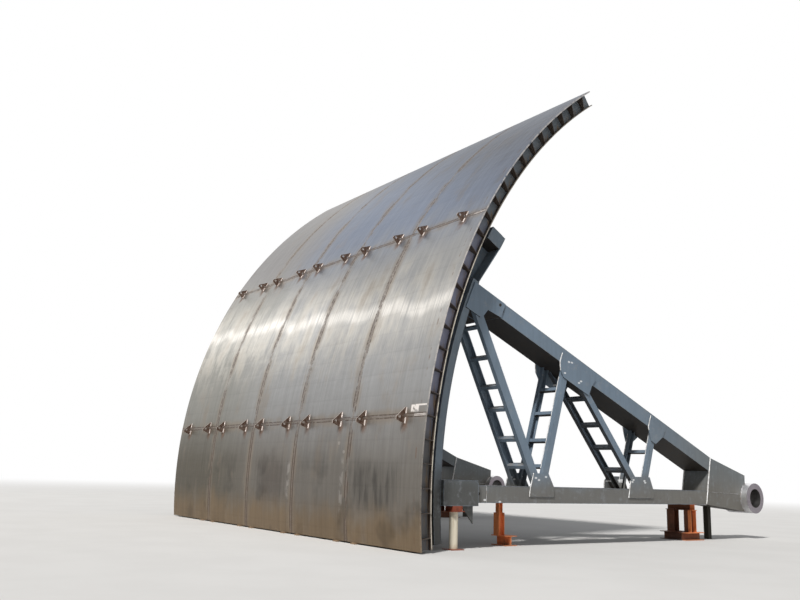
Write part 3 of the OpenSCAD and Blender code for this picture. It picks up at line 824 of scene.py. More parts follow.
@dataclass(frozen=True)
class RedPrimer:
    """Rust-red primer of the yard stands, sooty, worn and muddy at the foot, with painted shade on the inner
    columns.
    """

    name: str
    tint: Rgb = (0.860, 0.280, 0.105)
    worn: Rgb = (0.880, 0.420, 0.200)
    soot_and_shade: Rgb = (0.060, 0.028, 0.018)
    mud: Rgb = (0.200, 0.130, 0.080)
    inner: Rgb = (0.050, 0.027, 0.020)
    post: Rgb = (0.016, 0.018, 0.013)
    inner_y: float = 0.0
    post_box: tuple[float, float, float] = (99.0, 0.0, 1.0)

    def dress(self) -> Material:
        """Makes the material. The inner columns are darkened as painted shade and the posts are near black.

        Returns:
            The material.
        """
        g = Surface(self.name)
        here, x, y, z = g.place()
        mottle = g.noise(here, 13.0, 6.0, 0.66)
        start, side, half = self.post_box
        post = g.smooth(x, start, start + 0.01) * g.smooth(abs(abs(y) - side), half + 0.006, half + 0.002)
        body = g.coats(
            self.tint,
            (g.smooth(g.noise(here, 2.2, 4.0), 0.50, 0.70) * 0.5, self.soot_and_shade),
            (g.smooth(mottle, 0.55, 0.70) * 0.6, self.worn),
            (g.smooth(z + (mottle - 0.5) * 0.12, 0.10, 0.0) * 0.6, self.mud),
            # painted shade on the inner columns
            (g.smooth(abs(y), self.inner_y + 0.01, self.inner_y - 0.01) * 0.85, self.inner),
            (post * 0.95, self.post))
        rough = 0.66 + (mottle - 0.5) * 0.2
        return g.close(g.shade(body, 0.85 + mottle * 0.3), rough, 0.0, mottle, 0.003, gloss=0.25)


@dataclass(frozen=True)
class PipeStandPaint:
    """Pale paint on the pipe, rust-red primer on its end plates and packing."""

    sizes: GateSizes
    pale: Rgb = (0.720, 0.650, 0.510)
    grime: Rgb = (0.420, 0.320, 0.200)
    red: Rgb = (0.250, 0.060, 0.030)
    soot_and_shade: Rgb = (0.070, 0.035, 0.025)

    def dress(self) -> Material:
        """Makes the material.

        Returns:
            The material.
        """
        z = self.sizes
        top = z.axis_z - z.main_low - z.pipe_pack - z.stand_t
        g = Surface("pipe_stand_pale_paint")
        here, x, y, up = g.place()
        mottle = g.noise(here, 12.0, 6.0, 0.66)
        runs = g.streaks(x * 30.0, y * 30.0, up * 2.0, 4.0)
        red = g.mix(g.smooth(mottle, 0.48, 0.66) * 0.6, self.red, self.soot_and_shade)
        ends = g.most(g.smooth(up, z.stand_t + 0.001, z.stand_t), g.smooth(up, top - 0.001, top))
        body = g.coats(
            self.pale,
            (g.smooth(runs, 0.50, 0.75) * 0.5, self.grime),
            (g.smooth(up + (mottle - 0.5) * 0.15, 0.12, 0.0) * 0.7, self.grime),
            (ends, red))
        return g.close(body, 0.60 + (mottle - 0.5) * 0.2, 0.0, mottle, 0.002, gloss=0.3)


@dataclass(frozen=True)
class TurnedSteel:
    """Machined hub: turning marks about the bore and a thin film of grease and dust."""

    sizes: GateSizes
    bright: Rgb = (0.880, 0.872, 0.880)
    dull: Rgb = (0.640, 0.622, 0.630)
    end: Rgb = (0.165, 0.138, 0.165)
    bore: Rgb = (0.050, 0.044, 0.038)

    def dress(self) -> Material:
        """Makes the material.

        Returns:
            The material.
        """
        z = self.sizes
        g = Surface("hub_turned_steel")
        here, x, y, up = g.place()
        radius = g.span(x - z.axis_x, up - z.axis_z)
        rings = g.streaks(radius * 260.0, y * 260.0, 0.0, 2.0)
        film = g.noise(here, 4.0, 5.0, 0.62)
        ends = g.smooth(abs(abs(y) - z.arm_y), z.hub_l / 2 - 0.006, z.hub_l / 2 - 0.002)
        body = g.coats(self.bright, (g.smooth(film, 0.42, 0.66), self.dull), (ends * 0.85, self.end))
        # painted shade: the bore and a thin ring round it are darkened
        bore = g.smooth(radius, z.bore_r + 0.010, z.bore_r + 0.002)
        body = g.mix(bore * 0.8, g.shade(body, 0.85 + rings * 0.3), self.bore)
        return g.close(body, 0.28 + film * 0.22, 0.95, rings, 0.0006)


class WeldAge(Enum):
    """How a weld bead looks: its name, two tints, roughness and metallic share."""

    BRIGHT = ("bright", (0.42, 0.42, 0.42), (0.18, 0.15, 0.12), 0.38, 0.90)
    GROUND = ("ground", (0.90, 0.89, 0.87), (0.50, 0.48, 0.45), 0.45, 0.25)
    DRESSED = ("dressed", (0.74, 0.66, 0.61), (0.46, 0.38, 0.33), 0.42, 0.60)
    PRIMED = ("primed", (0.19, 0.22, 0.25), (0.10, 0.11, 0.125), 0.50, 0.20)
    RUSTY = ("rusty", (0.185, 0.148, 0.120), (0.095, 0.064, 0.046), 0.58, 0.50)


@dataclass(frozen=True)
class WeldMetal:
    """Weld metal with its ripples across the bead."""

    age: WeldAge
    ripple: float = 0.006

    def dress(self) -> Material:
        """Makes the material. The ripples follow the length that is kept on the bead's mesh.

        Returns:
            The material.
        """
        name, tint, spots, rough, metal = self.age.value
        g = Surface(f"weld_{name}")
        here, *_ = g.place()
        mottle = g.noise(here, 9.0, 5.0, 0.66)
        along = Term(g, g.add("ShaderNodeAttribute", {"attribute_name": "along"}).outputs["Fac"])
        wave = g.math("SINE", along * (2 * math.pi / self.ripple) + mottle * 4.0)
        body = g.shade(g.mix(g.smooth(mottle, 0.44, 0.62), tint, spots), 0.92 + wave * 0.10)
        return g.close(body, rough, metal, wave * 0.5 + mottle * 0.6, 0.0012)


# Weld beads, laid by Geometry Nodes along paths


class Grower(Graph):
    """A Geometry Nodes tree with named inputs, which turns a mesh of paths into a piece."""

    def __init__(self, name: str, inputs: dict[str, float | int]) -> None:
        """Makes the tree.

        Args:
            name: its name.
            inputs: default of each number that it takes beside the geometry and the material.
        """
        super().__init__(bpy.data.node_groups.new(name, "GeometryNodeTree"))
        face = self.tree.interface
        face.new_socket("Geometry", in_out="INPUT", socket_type="NodeSocketGeometry")
        self.keys: dict[str, str] = {}
        for label, default in inputs.items():
            kind = "NodeSocketInt" if isinstance(default, int) else "NodeSocketFloat"
            socket = face.new_socket(label, in_out="INPUT", socket_type=kind)
            socket.default_value = default
            self.keys[label] = socket.identifier
        socket = face.new_socket("Material", in_out="INPUT", socket_type="NodeSocketMaterial")
        self.keys["Material"] = socket.identifier
        face.new_socket("Geometry", in_out="OUTPUT", socket_type="NodeSocketGeometry")
        self.source = self.add("NodeGroupInput")
        self.curve = self.add("GeometryNodeMeshToCurve", None, {"Mesh": self.given("Geometry")}).outputs[0]

    def given(self, label: str) -> Term:
        """One of the tree's inputs."""
        return Term(self, self.source.outputs[label])

    def close(self, geometry: Socket) -> None:
        """Ends the tree in Realize Instances and Set Material.

        Args:
            geometry: what the tree has made.
        """
        real = self.add("GeometryNodeRealizeInstances", None, {"Geometry": geometry})
        dressed = self.add("GeometryNodeSetMaterial", None,
                           {"Geometry": real.outputs[0], "Material": self.given("Material")})
        self.add("NodeGroupOutput", None, {0: dressed.outputs[0]})

    def grow(self, name: str, base: bpy.types.Mesh, values: dict[str, object]) -> bpy.types.Object:
        """Runs the tree on a mesh.

        Args:
            name: name of the new piece.
            base: the mesh of paths.
            values: the tree's inputs by name.

        Returns:
            The piece, as a plain mesh at the origin.
        """
        helper = new_object(name + "_paths", base)
        modifier = helper.modifiers.new("grow", "NODES")
        modifier.node_group = self.tree
        for label, value in values.items():
            modifier[self.keys[label]] = value
        graph = bpy.context.evaluated_depsgraph_get()
        mesh = bpy.data.meshes.new_from_object(helper.evaluated_get(graph), depsgraph=graph)
        bpy.data.objects.remove(helper)
        bpy.data.meshes.remove(base)
        mesh.name = name
        return new_object(name, mesh)


def new_object(name: str, data: bpy.types.ID) -> bpy.types.Object:
    """Puts a new object into the scene.

    Args:
        name: its name.
        data: its mesh, light or camera.

    Returns:
        The object.
    """
    made = bpy.data.objects.new(name, data)
    bpy.context.scene.collection.objects.link(made)
    return made


def closed(path: Path) -> Path:
    """A path that ends in its own first point."""
    return [*path, path[0]]


def path_mesh(name: str, paths: list[Path]) -> bpy.types.Mesh:
    """A mesh of edges only.

    Args:
        name: its name.
        paths: points of each path; one that ends in its own first point is a ring.

    Returns:
        The mesh.
    """
    points: list[Vector] = []
    edges: list[tuple[int, int]] = []
    for path in paths:
        own = path[:-1] if path[0] is path[-1] else path
        start = len(points)
        points.extend(own)
        edges.extend((start + i, start + (i + 1) % len(own)) for i in range(len(path) - 1))
    mesh = bpy.data.meshes.new(name)
    mesh.from_pydata(points, edges, [])
    return mesh


def bead_tree() -> Grower:
    """Makes the tree that turns paths into uneven round beads.

    Returns:
        The tree.
    """
    tree = Grower("weld_bead", {"Radius": 0.008, "Step": 0.05, "Unevenness": 0.15, "Sides": 6})
    even = tree.add("GeometryNodeResampleCurve", {"mode": "LENGTH"},
                    {"Curve": tree.curve, "Length": tree.given("Step")})
    length = tree.add("GeometryNodeSplineParameter").outputs["Length"]
    named = tree.add("GeometryNodeStoreNamedAttribute", {"data_type": "FLOAT", "domain": "POINT"},
                     {"Geometry": even.outputs[0], "Name": "along", "Value": length})
    spot = tree.add("GeometryNodeInputPosition").outputs[0]
    noise = tree.add("ShaderNodeTexNoise", None, {"Vector": spot, "Scale": 6.0, "Detail": 2.0})
    size = (Term(tree, noise.outputs[0]) - 0.5) * tree.given("Unevenness") + 1.0
    ring = tree.add("GeometryNodeCurvePrimitiveCircle", {"mode": "RADIUS"},
                    {"Resolution": tree.given("Sides"), "Radius": tree.given("Radius")})
    body = tree.add("GeometryNodeCurveToMesh", None, {
        "Curve": named.outputs[0], "Profile Curve": ring.outputs[0], "Scale": size, "Fill Caps": True})
    soft = tree.add("GeometryNodeSetShadeSmooth", None, {"Geometry": body.outputs[0]})
    tree.close(soft.outputs[0])
    return tree


def stitch_tree() -> Grower:
    """Makes the tree that sets short beads at even steps along paths.

    Returns:
        The tree.
    """
    tree = Grower("weld_stitches", {"Pitch": 0.30, "Length": 0.12, "Radius": 0.006, "Seed": 4})
    places = tree.add("GeometryNodeCurveToPoints", {"mode": "LENGTH"},
                      {"Curve": tree.curve, "Length": tree.given("Pitch")})
    lump = tree.add("GeometryNodeMeshUVSphere", None, {"Segments": 6, "Rings": 6, "Radius": 1.0})
    turned = tree.add("FunctionNodeAlignRotationToVector", {"axis": "X"},
                      {"Vector": places.outputs["Tangent"]})
    chance = tree.add("FunctionNodeRandomValue", {"data_type": "FLOAT"},
                      {2: 0.75, 3: 1.20, "Seed": tree.given("Seed")})
    half = tree.given("Length") * 0.5 * Term(tree, chance.outputs[1])
    set_out = tree.add("GeometryNodeInstanceOnPoints", None, {
        "Points": places.outputs["Points"], "Instance": lump.outputs["Mesh"], "Rotation": turned.outputs[0],
        "Scale": tree.vector(half, tree.given("Radius"), tree.given("Radius"))})
    tree.close(set_out.outputs[0])
    return tree


@dataclass(frozen=True)
class Bead:
    """How a piece's weld beads are laid; with a pitch they are short stitches."""

    radius: float
    age: WeldAge
    step: float = 0.05
    sides: int = 6
    pitch: float = 0.0


@dataclass
class WeldShop:
    """Lays weld beads and keeps the trees and weld finishes that they share."""

    beads: Grower = field(default_factory=bead_tree)
    stitches: Grower = field(default_factory=stitch_tree)
    metals: dict[WeldAge, Material] = field(default_factory=dict)

    def metal(self, age: WeldAge) -> Material:
        """The finish of one kind of bead, made once.

        Args:
            age: how the bead looks.

        Returns:
            The material.
        """
        if age not in self.metals:
            self.metals[age] = WeldMetal(age).dress()
        return self.metals[age]

    def lay(self, name: str, paths: list[Path], bead: Bead, slot: str) -> None:
        """Lays beads along paths as one piece that rides on the gate.

        Args:
            name: the piece's name.
            paths: middle line of each bead, or of each row of stitches.
            bead: how they are laid.
            slot: the record's material slot; not used.
        """
        if bead.pitch:
            tree, sizes = self.stitches, {"Pitch": bead.pitch, "Length": bead.pitch * 0.5}
        else:
            tree, sizes = self.beads, {"Step": bead.step, "Sides": bead.sides}
        values = {"Radius": bead.radius, "Material": self.metal(bead.age), **sizes}
        piece = tree.grow(name, path_mesh(name, paths), values)
        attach(piece, "root")
        LOG.info("%s: %d paths, %d faces", name, len(paths), len(piece.data.polygons))


def paint(prefixes: tuple[str, ...], material: Material) -> None:
    """Gives CAD nodes a material.

    Args:
        prefixes: what their names start with.
        material: the finish.
    """
    for name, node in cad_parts.items():
        if name.startswith(prefixes):
            node.data.materials.clear()
            node.data.materials.append(material)


# Sub-assemblies


@dataclass
class Part:
    """A sub-assembly of the gate, with a material slot name that its weld beads do not use."""

    sizes: GateSizes
    welds: WeldShop
    slot: str = "girder_primer"

    def lay(self, name: str, paths: list[Path], bead: Bead) -> None:
        """Lays beads along paths as one piece."""
        self.welds.lay(name, paths, bead, self.slot)


@dataclass
class SkinPlate(Part):
    """The curved skin with its seams, field joints and joint dogs.

    The seams end by the end turns, in degrees, inside the skin's lower and upper edge.
    """

    slot: str = "skin_steel"
    seam: Bead = Bead(0.015, WeldAge.RUSTY, 0.08)
    fillet: Bead = Bead(0.010, WeldAge.DRESSED, 0.02)
    proud: float = 0.004
    steps_per_degree: int = 2
    joint_steps: int = 40
    end_turns: tuple[float, float] = (0.02, 0.04)
    foot_gap: float = 0.006
    foot_end: float = 0.004
    dog_gap: float = 0.003
    skin_gap: float = 0.001

    def dress(self) -> None:
        """Gives the plate and dogs their steel."""
        paint(("skin_",), SkinSteel(self.sizes).dress())
        paint(("joint_dogs",), DogSteel().dress())

    def build_seams(self) -> None:
        """Lays the upright seams and the two field joints."""
        z = self.sizes
        r = z.skin_r + self.proud - self.seam.radius
        low, high = z.sill_a + self.end_turns[0], z.top_a - self.end_turns[1]
        steps = int(self.steps_per_degree * (high - low))
        self.lay("seam_welds", [z.arc(r, low, high, y, steps) for y in z.seams()], self.seam)
        places = [z.width * (i / self.joint_steps - 0.5) for i in range(self.joint_steps + 1)]
        joints = [[z.polar(r, a, y) for y in places] for a in z.joints]
        self.lay("joint_welds", joints, self.seam)

    def build_dog_welds(self) -> None:
        """Lays a fillet on both sides of every dog's feet."""
        z = self.sizes
        start, end = z.dog_hole_r + self.foot_gap, z.dog_l / 2 - self.foot_end
        paths = []
        for a, y, side, foot in product(z.joints, z.dogs(), SIDES, SIDES):
            edge = y + side * (z.dog_t / 2 + self.dog_gap)
            turns = [foot * math.degrees(s / z.skin_r) for s in (start, (start + end) / 2, end)]
            paths.append([z.polar(z.skin_r + self.skin_gap, a + turn, edge) for turn in turns])
        self.lay("dog_welds", paths, self.fillet)

    def build(self) -> None:
        """Builds and dresses the skin."""
        self.dress()
        self.build_seams()
        self.build_dog_welds()


@dataclass
class Stiffening(Part):
    """Ribs, curved girders and the side girders with their ladders of brackets."""

    fillet: Bead = Bead(0.006, WeldAge.PRIMED, 0.08, 5)
    stitch: Bead = Bead(0.006, WeldAge.RUSTY, pitch=0.25)
    stitch_end: float = 0.05
    gap: float = 0.001
    web_gap: float = 0.008
    flange_gap: float = 0.022
    corner_gap: float = 0.004
    rim_gap: float = 0.006

    def dress(self) -> None:
        """Gives ribs and girders their primer."""
        paint(("ribs_", "stringer_"),
              Primer("rib_primer", tint=(0.155, 0.180, 0.205), rust_share=0.75).dress())
        paint(("edge_girder",), SidePrimer(self.sizes).dress())

    def build_bracket_welds(self) -> None:
        """Lays fillets between the side brackets, the web and the skin."""
        z = self.sizes
        rise = math.degrees((z.bracket_t / 2 + self.gap) / z.skin_r)
        web, rim, plate = z.edge_y + self.web_gap, z.width / 2 - self.rim_gap, z.in_r - self.gap
        paths = []
        for sign, a, face in product(SIDES, z.rib_angles(), SIDES):
            at = a + face * rise
            radii = (z.rear_r + self.flange_gap, z.in_r - self.corner_gap)
            paths.append([z.polar(r, at, sign * web) for r in radii])
            paths.append([z.polar(plate, at, sign * y) for y in (web, rim)])
        self.lay("bracket_welds", paths, self.fillet)

    def build_rib_stitches(self) -> None:
        """Lays the stitch welds that hold the ribs to the skin."""
        z = self.sizes
        webs = [-z.edge_y, -z.arm_y, *z.seams(), z.arm_y, z.edge_y]
        rise = math.degrees((z.rib_t / 2 + self.gap) / z.in_r)
        rows = []
        for a, face, (one, two) in product(z.rib_angles(), SIDES, zip(webs, webs[1:])):
            ends = (one + self.stitch_end, two - self.stitch_end)
            rows.append([z.polar(z.in_r - self.gap, a + face * rise, y) for y in ends])
        self.lay("rib_stitches", rows, self.stitch)

    def build(self) -> None:
        """Builds and dresses the stiffening."""
        self.dress()
        self.build_bracket_welds()
        self.build_rib_stitches()


@dataclass
class GirderGrid(Part):
    """Arm girders and cross girders between the arms."""

    corner: Bead = Bead(0.006, WeldAge.PRIMED, 0.15)
    inset: float = 0.002
    arc_steps: int = 60

    def box_edges(self, a: float, s1: float, s2: float, n1: float, n2: float, y: float) -> list[Path]:
        """Weld lines of a cross girder, just inside its corners.

        Args:
            a: angle of the radial line that it lies on.
            s1: nearer side, measured along that line.
            s2: farther side.
            n1: lower side, measured from that line.
            n2: upper side.
            y: half its length.

        Returns:
            The four long edges and two end rings.
        """
        z, i = self.sizes, self.inset
        corners = [(s1 + i, n1 + i), (s2 - i, n1 + i), (s2 - i, n2 - i), (s1 + i, n2 - i)]
        ends = (-y + i, y - i)
        long = [[z.beside(s, n, a, end) for end in ends] for s, n in corners]
        return long + [closed([z.beside(s, n, a, end) for s, n in corners]) for end in ends]

    def build(self) -> None:
        """Builds and dresses the girders; low down they get a darker painted shade, so the lower main girder
        is darker.
        """
        paint(("arm_girder", "main_girder", "cross_beam"),
              Primer("girder_primer", tint=(0.160, 0.198, 0.235), low_dust_and_shade=(0.074, 0.069, 0.058)).dress())
        z, r = self.sizes, self.sizes.arm_girder_r
        top, half, chord = r - z.arm_flare, z.top_beam_h / 2, z.chord_h / 2
        girders = (
            (0.0, r - z.main_d, r - self.inset, -z.main_low, z.main_high, z.arm_out + z.main_end),
            (z.chord_a, r - z.upper_d, r - self.inset, -chord, chord, z.arm_out),
            (z.top_beam_a, top, top + z.top_beam_d, -half, half, z.arm_out))
        paths = [path for girder in girders for path in self.box_edges(*girder)]
        self.lay("cross_girder_welds", paths, self.corner)
        radii = (r + self.inset, r + z.arm_girder_box - self.inset)
        arcs = [z.arc(s, z.sill_a, z.arm_box_top_a, y, self.arc_steps)
                for y, s in product(z.arm_planes(self.inset), radii)]
        self.lay("arm_girder_welds", arcs, self.corner)


@dataclass
class Arms(Part):
    """Both arms: chords, battened bars, gussets, trunnion boxes and hubs.

    Ground spots and the dark spots painted as shade in holes on the gussets and chords are given behind and
    above the trunnion axis.
    """

    slot: str = "arm_primer"
    gusset: Bead = Bead(0.009, WeldAge.PRIMED, 0.04)
    gusset_edge: Bead = Bead(0.013, WeldAge.GROUND, 0.04)
    bar_highlight: Bead = Bead(0.012, WeldAge.GROUND, 0.06)
    splice: Bead = Bead(0.008, WeldAge.BRIGHT, 0.02)
    corner: Bead = Bead(0.006, WeldAge.PRIMED, 0.15)
    fold: Bead = Bead(0.019, WeldAge.GROUND, 0.05, 8)
    hub_ring: Bead = Bead(0.012, WeldAge.BRIGHT, 0.02, 8)
    side_seam: Bead = Bead(0.006, WeldAge.BRIGHT, 0.04)
    inset: float = 0.002
    gusset_lift: float = 0.003
    edge_sink: float = 0.010
    splice_sink: float = 0.001
    bar_inset: float = 0.004
    bare_shares: tuple[float, ...] = (0.18, 0.50, 0.86)
    splices: tuple[float, float] = (0.004, 0.300)
    end_gap: float = 0.004
    ring_steps: int = 32
    ring_spread: float = 1.012
    ring_lift: float = 0.002
    box_seam: Spots = ((0.06, 0.150), (0.02, 0.100))
    ground: Spots = (
        (-8.443, 0.366), (-8.352, 0.325), (-8.135, 0.395), (-5.166, 0.391), (-5.206, 0.345),
        (-4.755, 0.376), (-4.728, 0.335), (-7.362, 3.037), (-7.262, 3.030), (-7.499, 2.766),
        (-7.033, 2.575), (-6.960, 2.620), (-4.572, 1.423), (-10.130, 0.270), (-9.900, 0.215),
        (-9.905, -0.115), (-9.480, -0.150), (-1.100, 0.860))
    holes: Spots = ((-9.523, 4.084), (-10.080, 0.010))

    def dress(self) -> None:
        """Gives the arms their primer and the hubs their bare steel."""
        z = self.sizes
        paint(("lower_chord", "upper_chord", "gussets", "diagonal", "trunnion_box"),
              Primer("arm_primer", tint=(0.158, 0.206, 0.258), ground=z.from_axis(self.ground),
                     holes=z.from_axis(self.holes)).dress())
        paint(("trunnion_hub",), TurnedSteel(z).dress())

    def gusset_edges(self) -> tuple[list[tuple[float, Spots]], list[tuple[float, Spots]]]:
        """Edges of the gussets that lie on the chords.

        Returns:
            The plain welds and the ground upstream edges, each with the radial angle of its chord and its
            points as distances along and above it.
        """
        z = self.sizes
        turn = math.cos(math.radians(z.chord_a))
        s_2, s_3 = (z.arm_girder_r - z.up_2) / turn, (z.arm_girder_r - z.up_3) / turn
        x_1, x_2 = z.arm_girder_r - z.low_1, z.arm_girder_r - z.low_2
        end, h, r = z.arm_girder_r - z.upper_d, z.chord_h / 2, z.gusset_reach
        plain = [
            (z.chord_a, ((end, h), (end - 0.03, 0.0), (end, -h))),
            (z.chord_a, ((s_2 + 0.240, 0.0), (s_2 - 1.0, 0.0), (s_2 - 0.943, -h))),
            (z.chord_a, ((s_3 + 0.260, 0.030), (s_3 - 0.370, 0.030), (s_3 - 0.340, -h))),
            (0.0, ((x_1 + 0.385, -0.035), (x_1 - 0.365, -0.035), (x_1 - 0.367, h))),
            (0.0, ((x_2 + 0.553, -0.035), (x_2 - 0.364, -0.035), (x_2 - 0.388, h))),
        ]
        bright = [
            (z.chord_a, ((s_2 + 0.240, 0.050), (s_2 + 0.240, -0.180), (s_2 + 0.145, -0.360))),
            (z.chord_a, ((s_3 + 0.262, 0.120), (s_3 + 0.250, -0.185), (s_3 + 0.200, -0.250))),
            (0.0, ((x_1 + 0.251, r), (x_1 + 0.351, 0.166), (x_1 + 0.385, -0.035))),
            (0.0, ((x_2 + 0.476, 0.365), (x_2 + 0.553, -0.035))),
        ]
        return plain, bright

    def bar_edges(self) -> list[Path]:
        """Upstream edges of the second and fourth diagonals, where white beads paint the highlight of a
        sunlit edge.

        Returns:
            Their paths.
        """
        z, inset = self.sizes, self.bar_inset
        slope = math.tan(math.radians(z.chord_a))
        outer, inner = z.arm_out - z.bar_d + inset, z.arm_in + inset
        edges = []
        for up, low, width, planes in ((z.up_2, z.low_1, z.bar_2_w, (outer,)),
                                       (z.up_3, z.low_2, z.bar_4_w, (outer, inner))):
            top = Vector((up - z.arm_girder_r, 0.0, (z.arm_girder_r - up) * slope))
            foot = Vector((low - z.arm_girder_r, 0.0, 0.0))
            run = (top - foot).normalized()
            aside = Vector((-run.z, 0.0, run.x)) * (width / 2 - inset)
            for side, plane in product(SIDES, planes):
                start = Vector((z.axis_x, side * plane, z.axis_z)) + aside
                edges.append([start + foot.lerp(top, t) for t in self.bare_shares])
        return edges

    def build_gusset_welds(self) -> None:
        """Lays the welds round the gussets, their bare upstream edges, white beads as a painted highlight on
        the bars' upstream edges, and the splices of the lower chords.
        """
        z = self.sizes
        plain, bright = self.gusset_edges()
        for name, edges, lift, bead in (
                ("gusset_welds", plain, self.gusset_lift, self.gusset),
                ("gusset_ground_edges", bright, z.gusset_t - self.edge_sink, self.gusset_edge)):
            paths = [[z.beside(s, n, a, y) for s, n in points]
                     for y, (a, points) in product(z.arm_planes(-lift), edges)]
            self.lay(name, paths, bead)
        # white beads along the bars' upstream edges: painted highlight
        self.lay("bar_edge_highlights", self.bar_edges(), self.bar_highlight)
        rear, h = z.arm_girder_r - z.main_d, z.chord_h / 2 - self.splice_sink
        corners = ((z.arm_out, -h), (z.arm_out, h), (z.arm_in, h), (z.arm_in, -h))
        splices = [closed([z.beside(s, n, 0.0, sign * y) for y, n in corners])
                   for sign, s in product(SIDES, [rear - off for off in self.splices])]
        self.lay("chord_splice_welds", splices, self.splice)

    def build_chord_welds(self) -> None:
        """Lays the corner welds of the boxed chords."""
        z, inset = self.sizes, self.inset
        inner = z.box_len - z.chord_h * math.tan(math.radians(z.chord_a / 2))
        far, far_up = z.arm_girder_r - z.main_d, z.arm_girder_r - z.upper_d
        h = z.chord_h / 2 - inset
        lines = ((0.0, -h, (z.box_len, far)), (0.0, h, (inner, far)),
                 (z.chord_a, h, (z.box_len, far_up)), (z.chord_a, -h, (inner, far_up)))
        paths = [[z.beside(s, n, a, y) for s in ends]
                 for y, (a, n, ends) in product(z.arm_planes(inset), lines)]
        self.lay("chord_corner_welds", paths, self.corner)

    def build_fold_welds(self) -> None:
        """Lays the weld round each trunnion box at its fold, where the chords end."""
        z, h = self.sizes, self.sizes.chord_h / 2
        corners = ((0.0, -h, z.arm_in), (0.0, -h, z.arm_out),
                   (z.chord_a, h, z.arm_out), (z.chord_a, h, z.arm_in))
        rings = [closed([z.beside(z.box_len, n, a, sign * y) for a, n, y in corners]) for sign in SIDES]
        self.lay("fold_welds", rings, self.fold)

    def on_box(self, x: float, up: float, side: int, face: int, lift: float = 0.0,
               spread: float = 1.0) -> Vector:
        """A point on a side face of a trunnion box, which narrows to its tip.

        Args:
            x: place along X from the trunnion axis.
            up: height above it.
            side: -1 or 1 for the right or left arm.
            face: -1 or 1 for the inner or outer face.
            lift: how far off the face it lies.
            spread: how far it is moved out from the axis, as a factor.

        Returns:
            The point.
        """
        z = self.sizes
        lean = math.radians(z.chord_a / 2)
        fold = z.box_len * math.cos(lean) - z.chord_h / 2 * math.sin(lean)
        slope = (z.arm_w - z.box_tip_w) / 2 / fold
        off = z.box_tip_w / 2 + slope * (up * math.sin(lean) - x * math.cos(lean)) + lift
        return Vector((z.axis_x + x * spread, side * (z.arm_y + face * off), z.axis_z + up * spread))

    def build_hub_welds(self) -> None:
        """Lays the ring weld between each hub and the sides of its box, and the sides' lengthwise seams."""
        z = self.sizes
        top_a = math.acos(z.box_end / z.hub_r)
        low_a = math.asin(min(1.0, (z.box_end_low - self.end_gap) / z.hub_r))
        turns = [-low_a + (top_a + low_a) * i / self.ring_steps for i in range(self.ring_steps + 1)]
        arc = [(-z.hub_r * math.cos(a), z.hub_r * math.sin(a)) for a in turns]
        (fold_gap, fold_up), (hub_gap, hub_up) = self.box_seam
        seam = ((-z.box_len + fold_gap, fold_up), (-z.hub_r - hub_gap, hub_up))
        faces = list(product(SIDES, SIDES))
        rings = [[self.on_box(x, up, side, face, self.ring_lift, self.ring_spread) for x, up in arc]
                 for side, face in faces]
        seams = [[self.on_box(x, up, side, face) for x, up in seam] for side, face in faces]
        self.lay("hub_ring_welds", rings, self.hub_ring)
        self.lay("box_side_welds", seams, self.side_seam)

    def build(self) -> None:
        """Builds and dresses the arms."""
        self.dress()
        self.build_chord_welds()
        self.build_gusset_welds()
        self.build_fold_welds()
        self.build_hub_welds()


@dataclass
class YardStands:
    """The stands and shims that the gate lies on."""

    sizes: GateSizes
    post_room: float = 0.02

    def build(self) -> None:
        """Dresses the stands."""
        z = self.sizes
        start = z.axis_x - z.box_len + z.post_off - z.post_w / 2 - self.post_room
        post = (start, z.arm_y - z.post_side, z.post_w / 2)
        for prefix, finish in (
                ("beam_stand", RedPrimer("stand_red_primer")),
                ("trunnion_stand", RedPrimer("trunnion_stand_primer", inner_y=z.arm_y, post_box=post)),
                ("sill_shims", RedPrimer("shim_rusty_plate", tint=(0.250, 0.175, 0.105),
                                         worn=(0.380, 0.290, 0.190), soot_and_shade=(0.110, 0.075, 0.048))),
                ("pipe_stand", PipeStandPaint(z))):
            paint((prefix,), finish.dress())


# Floor, light and camera


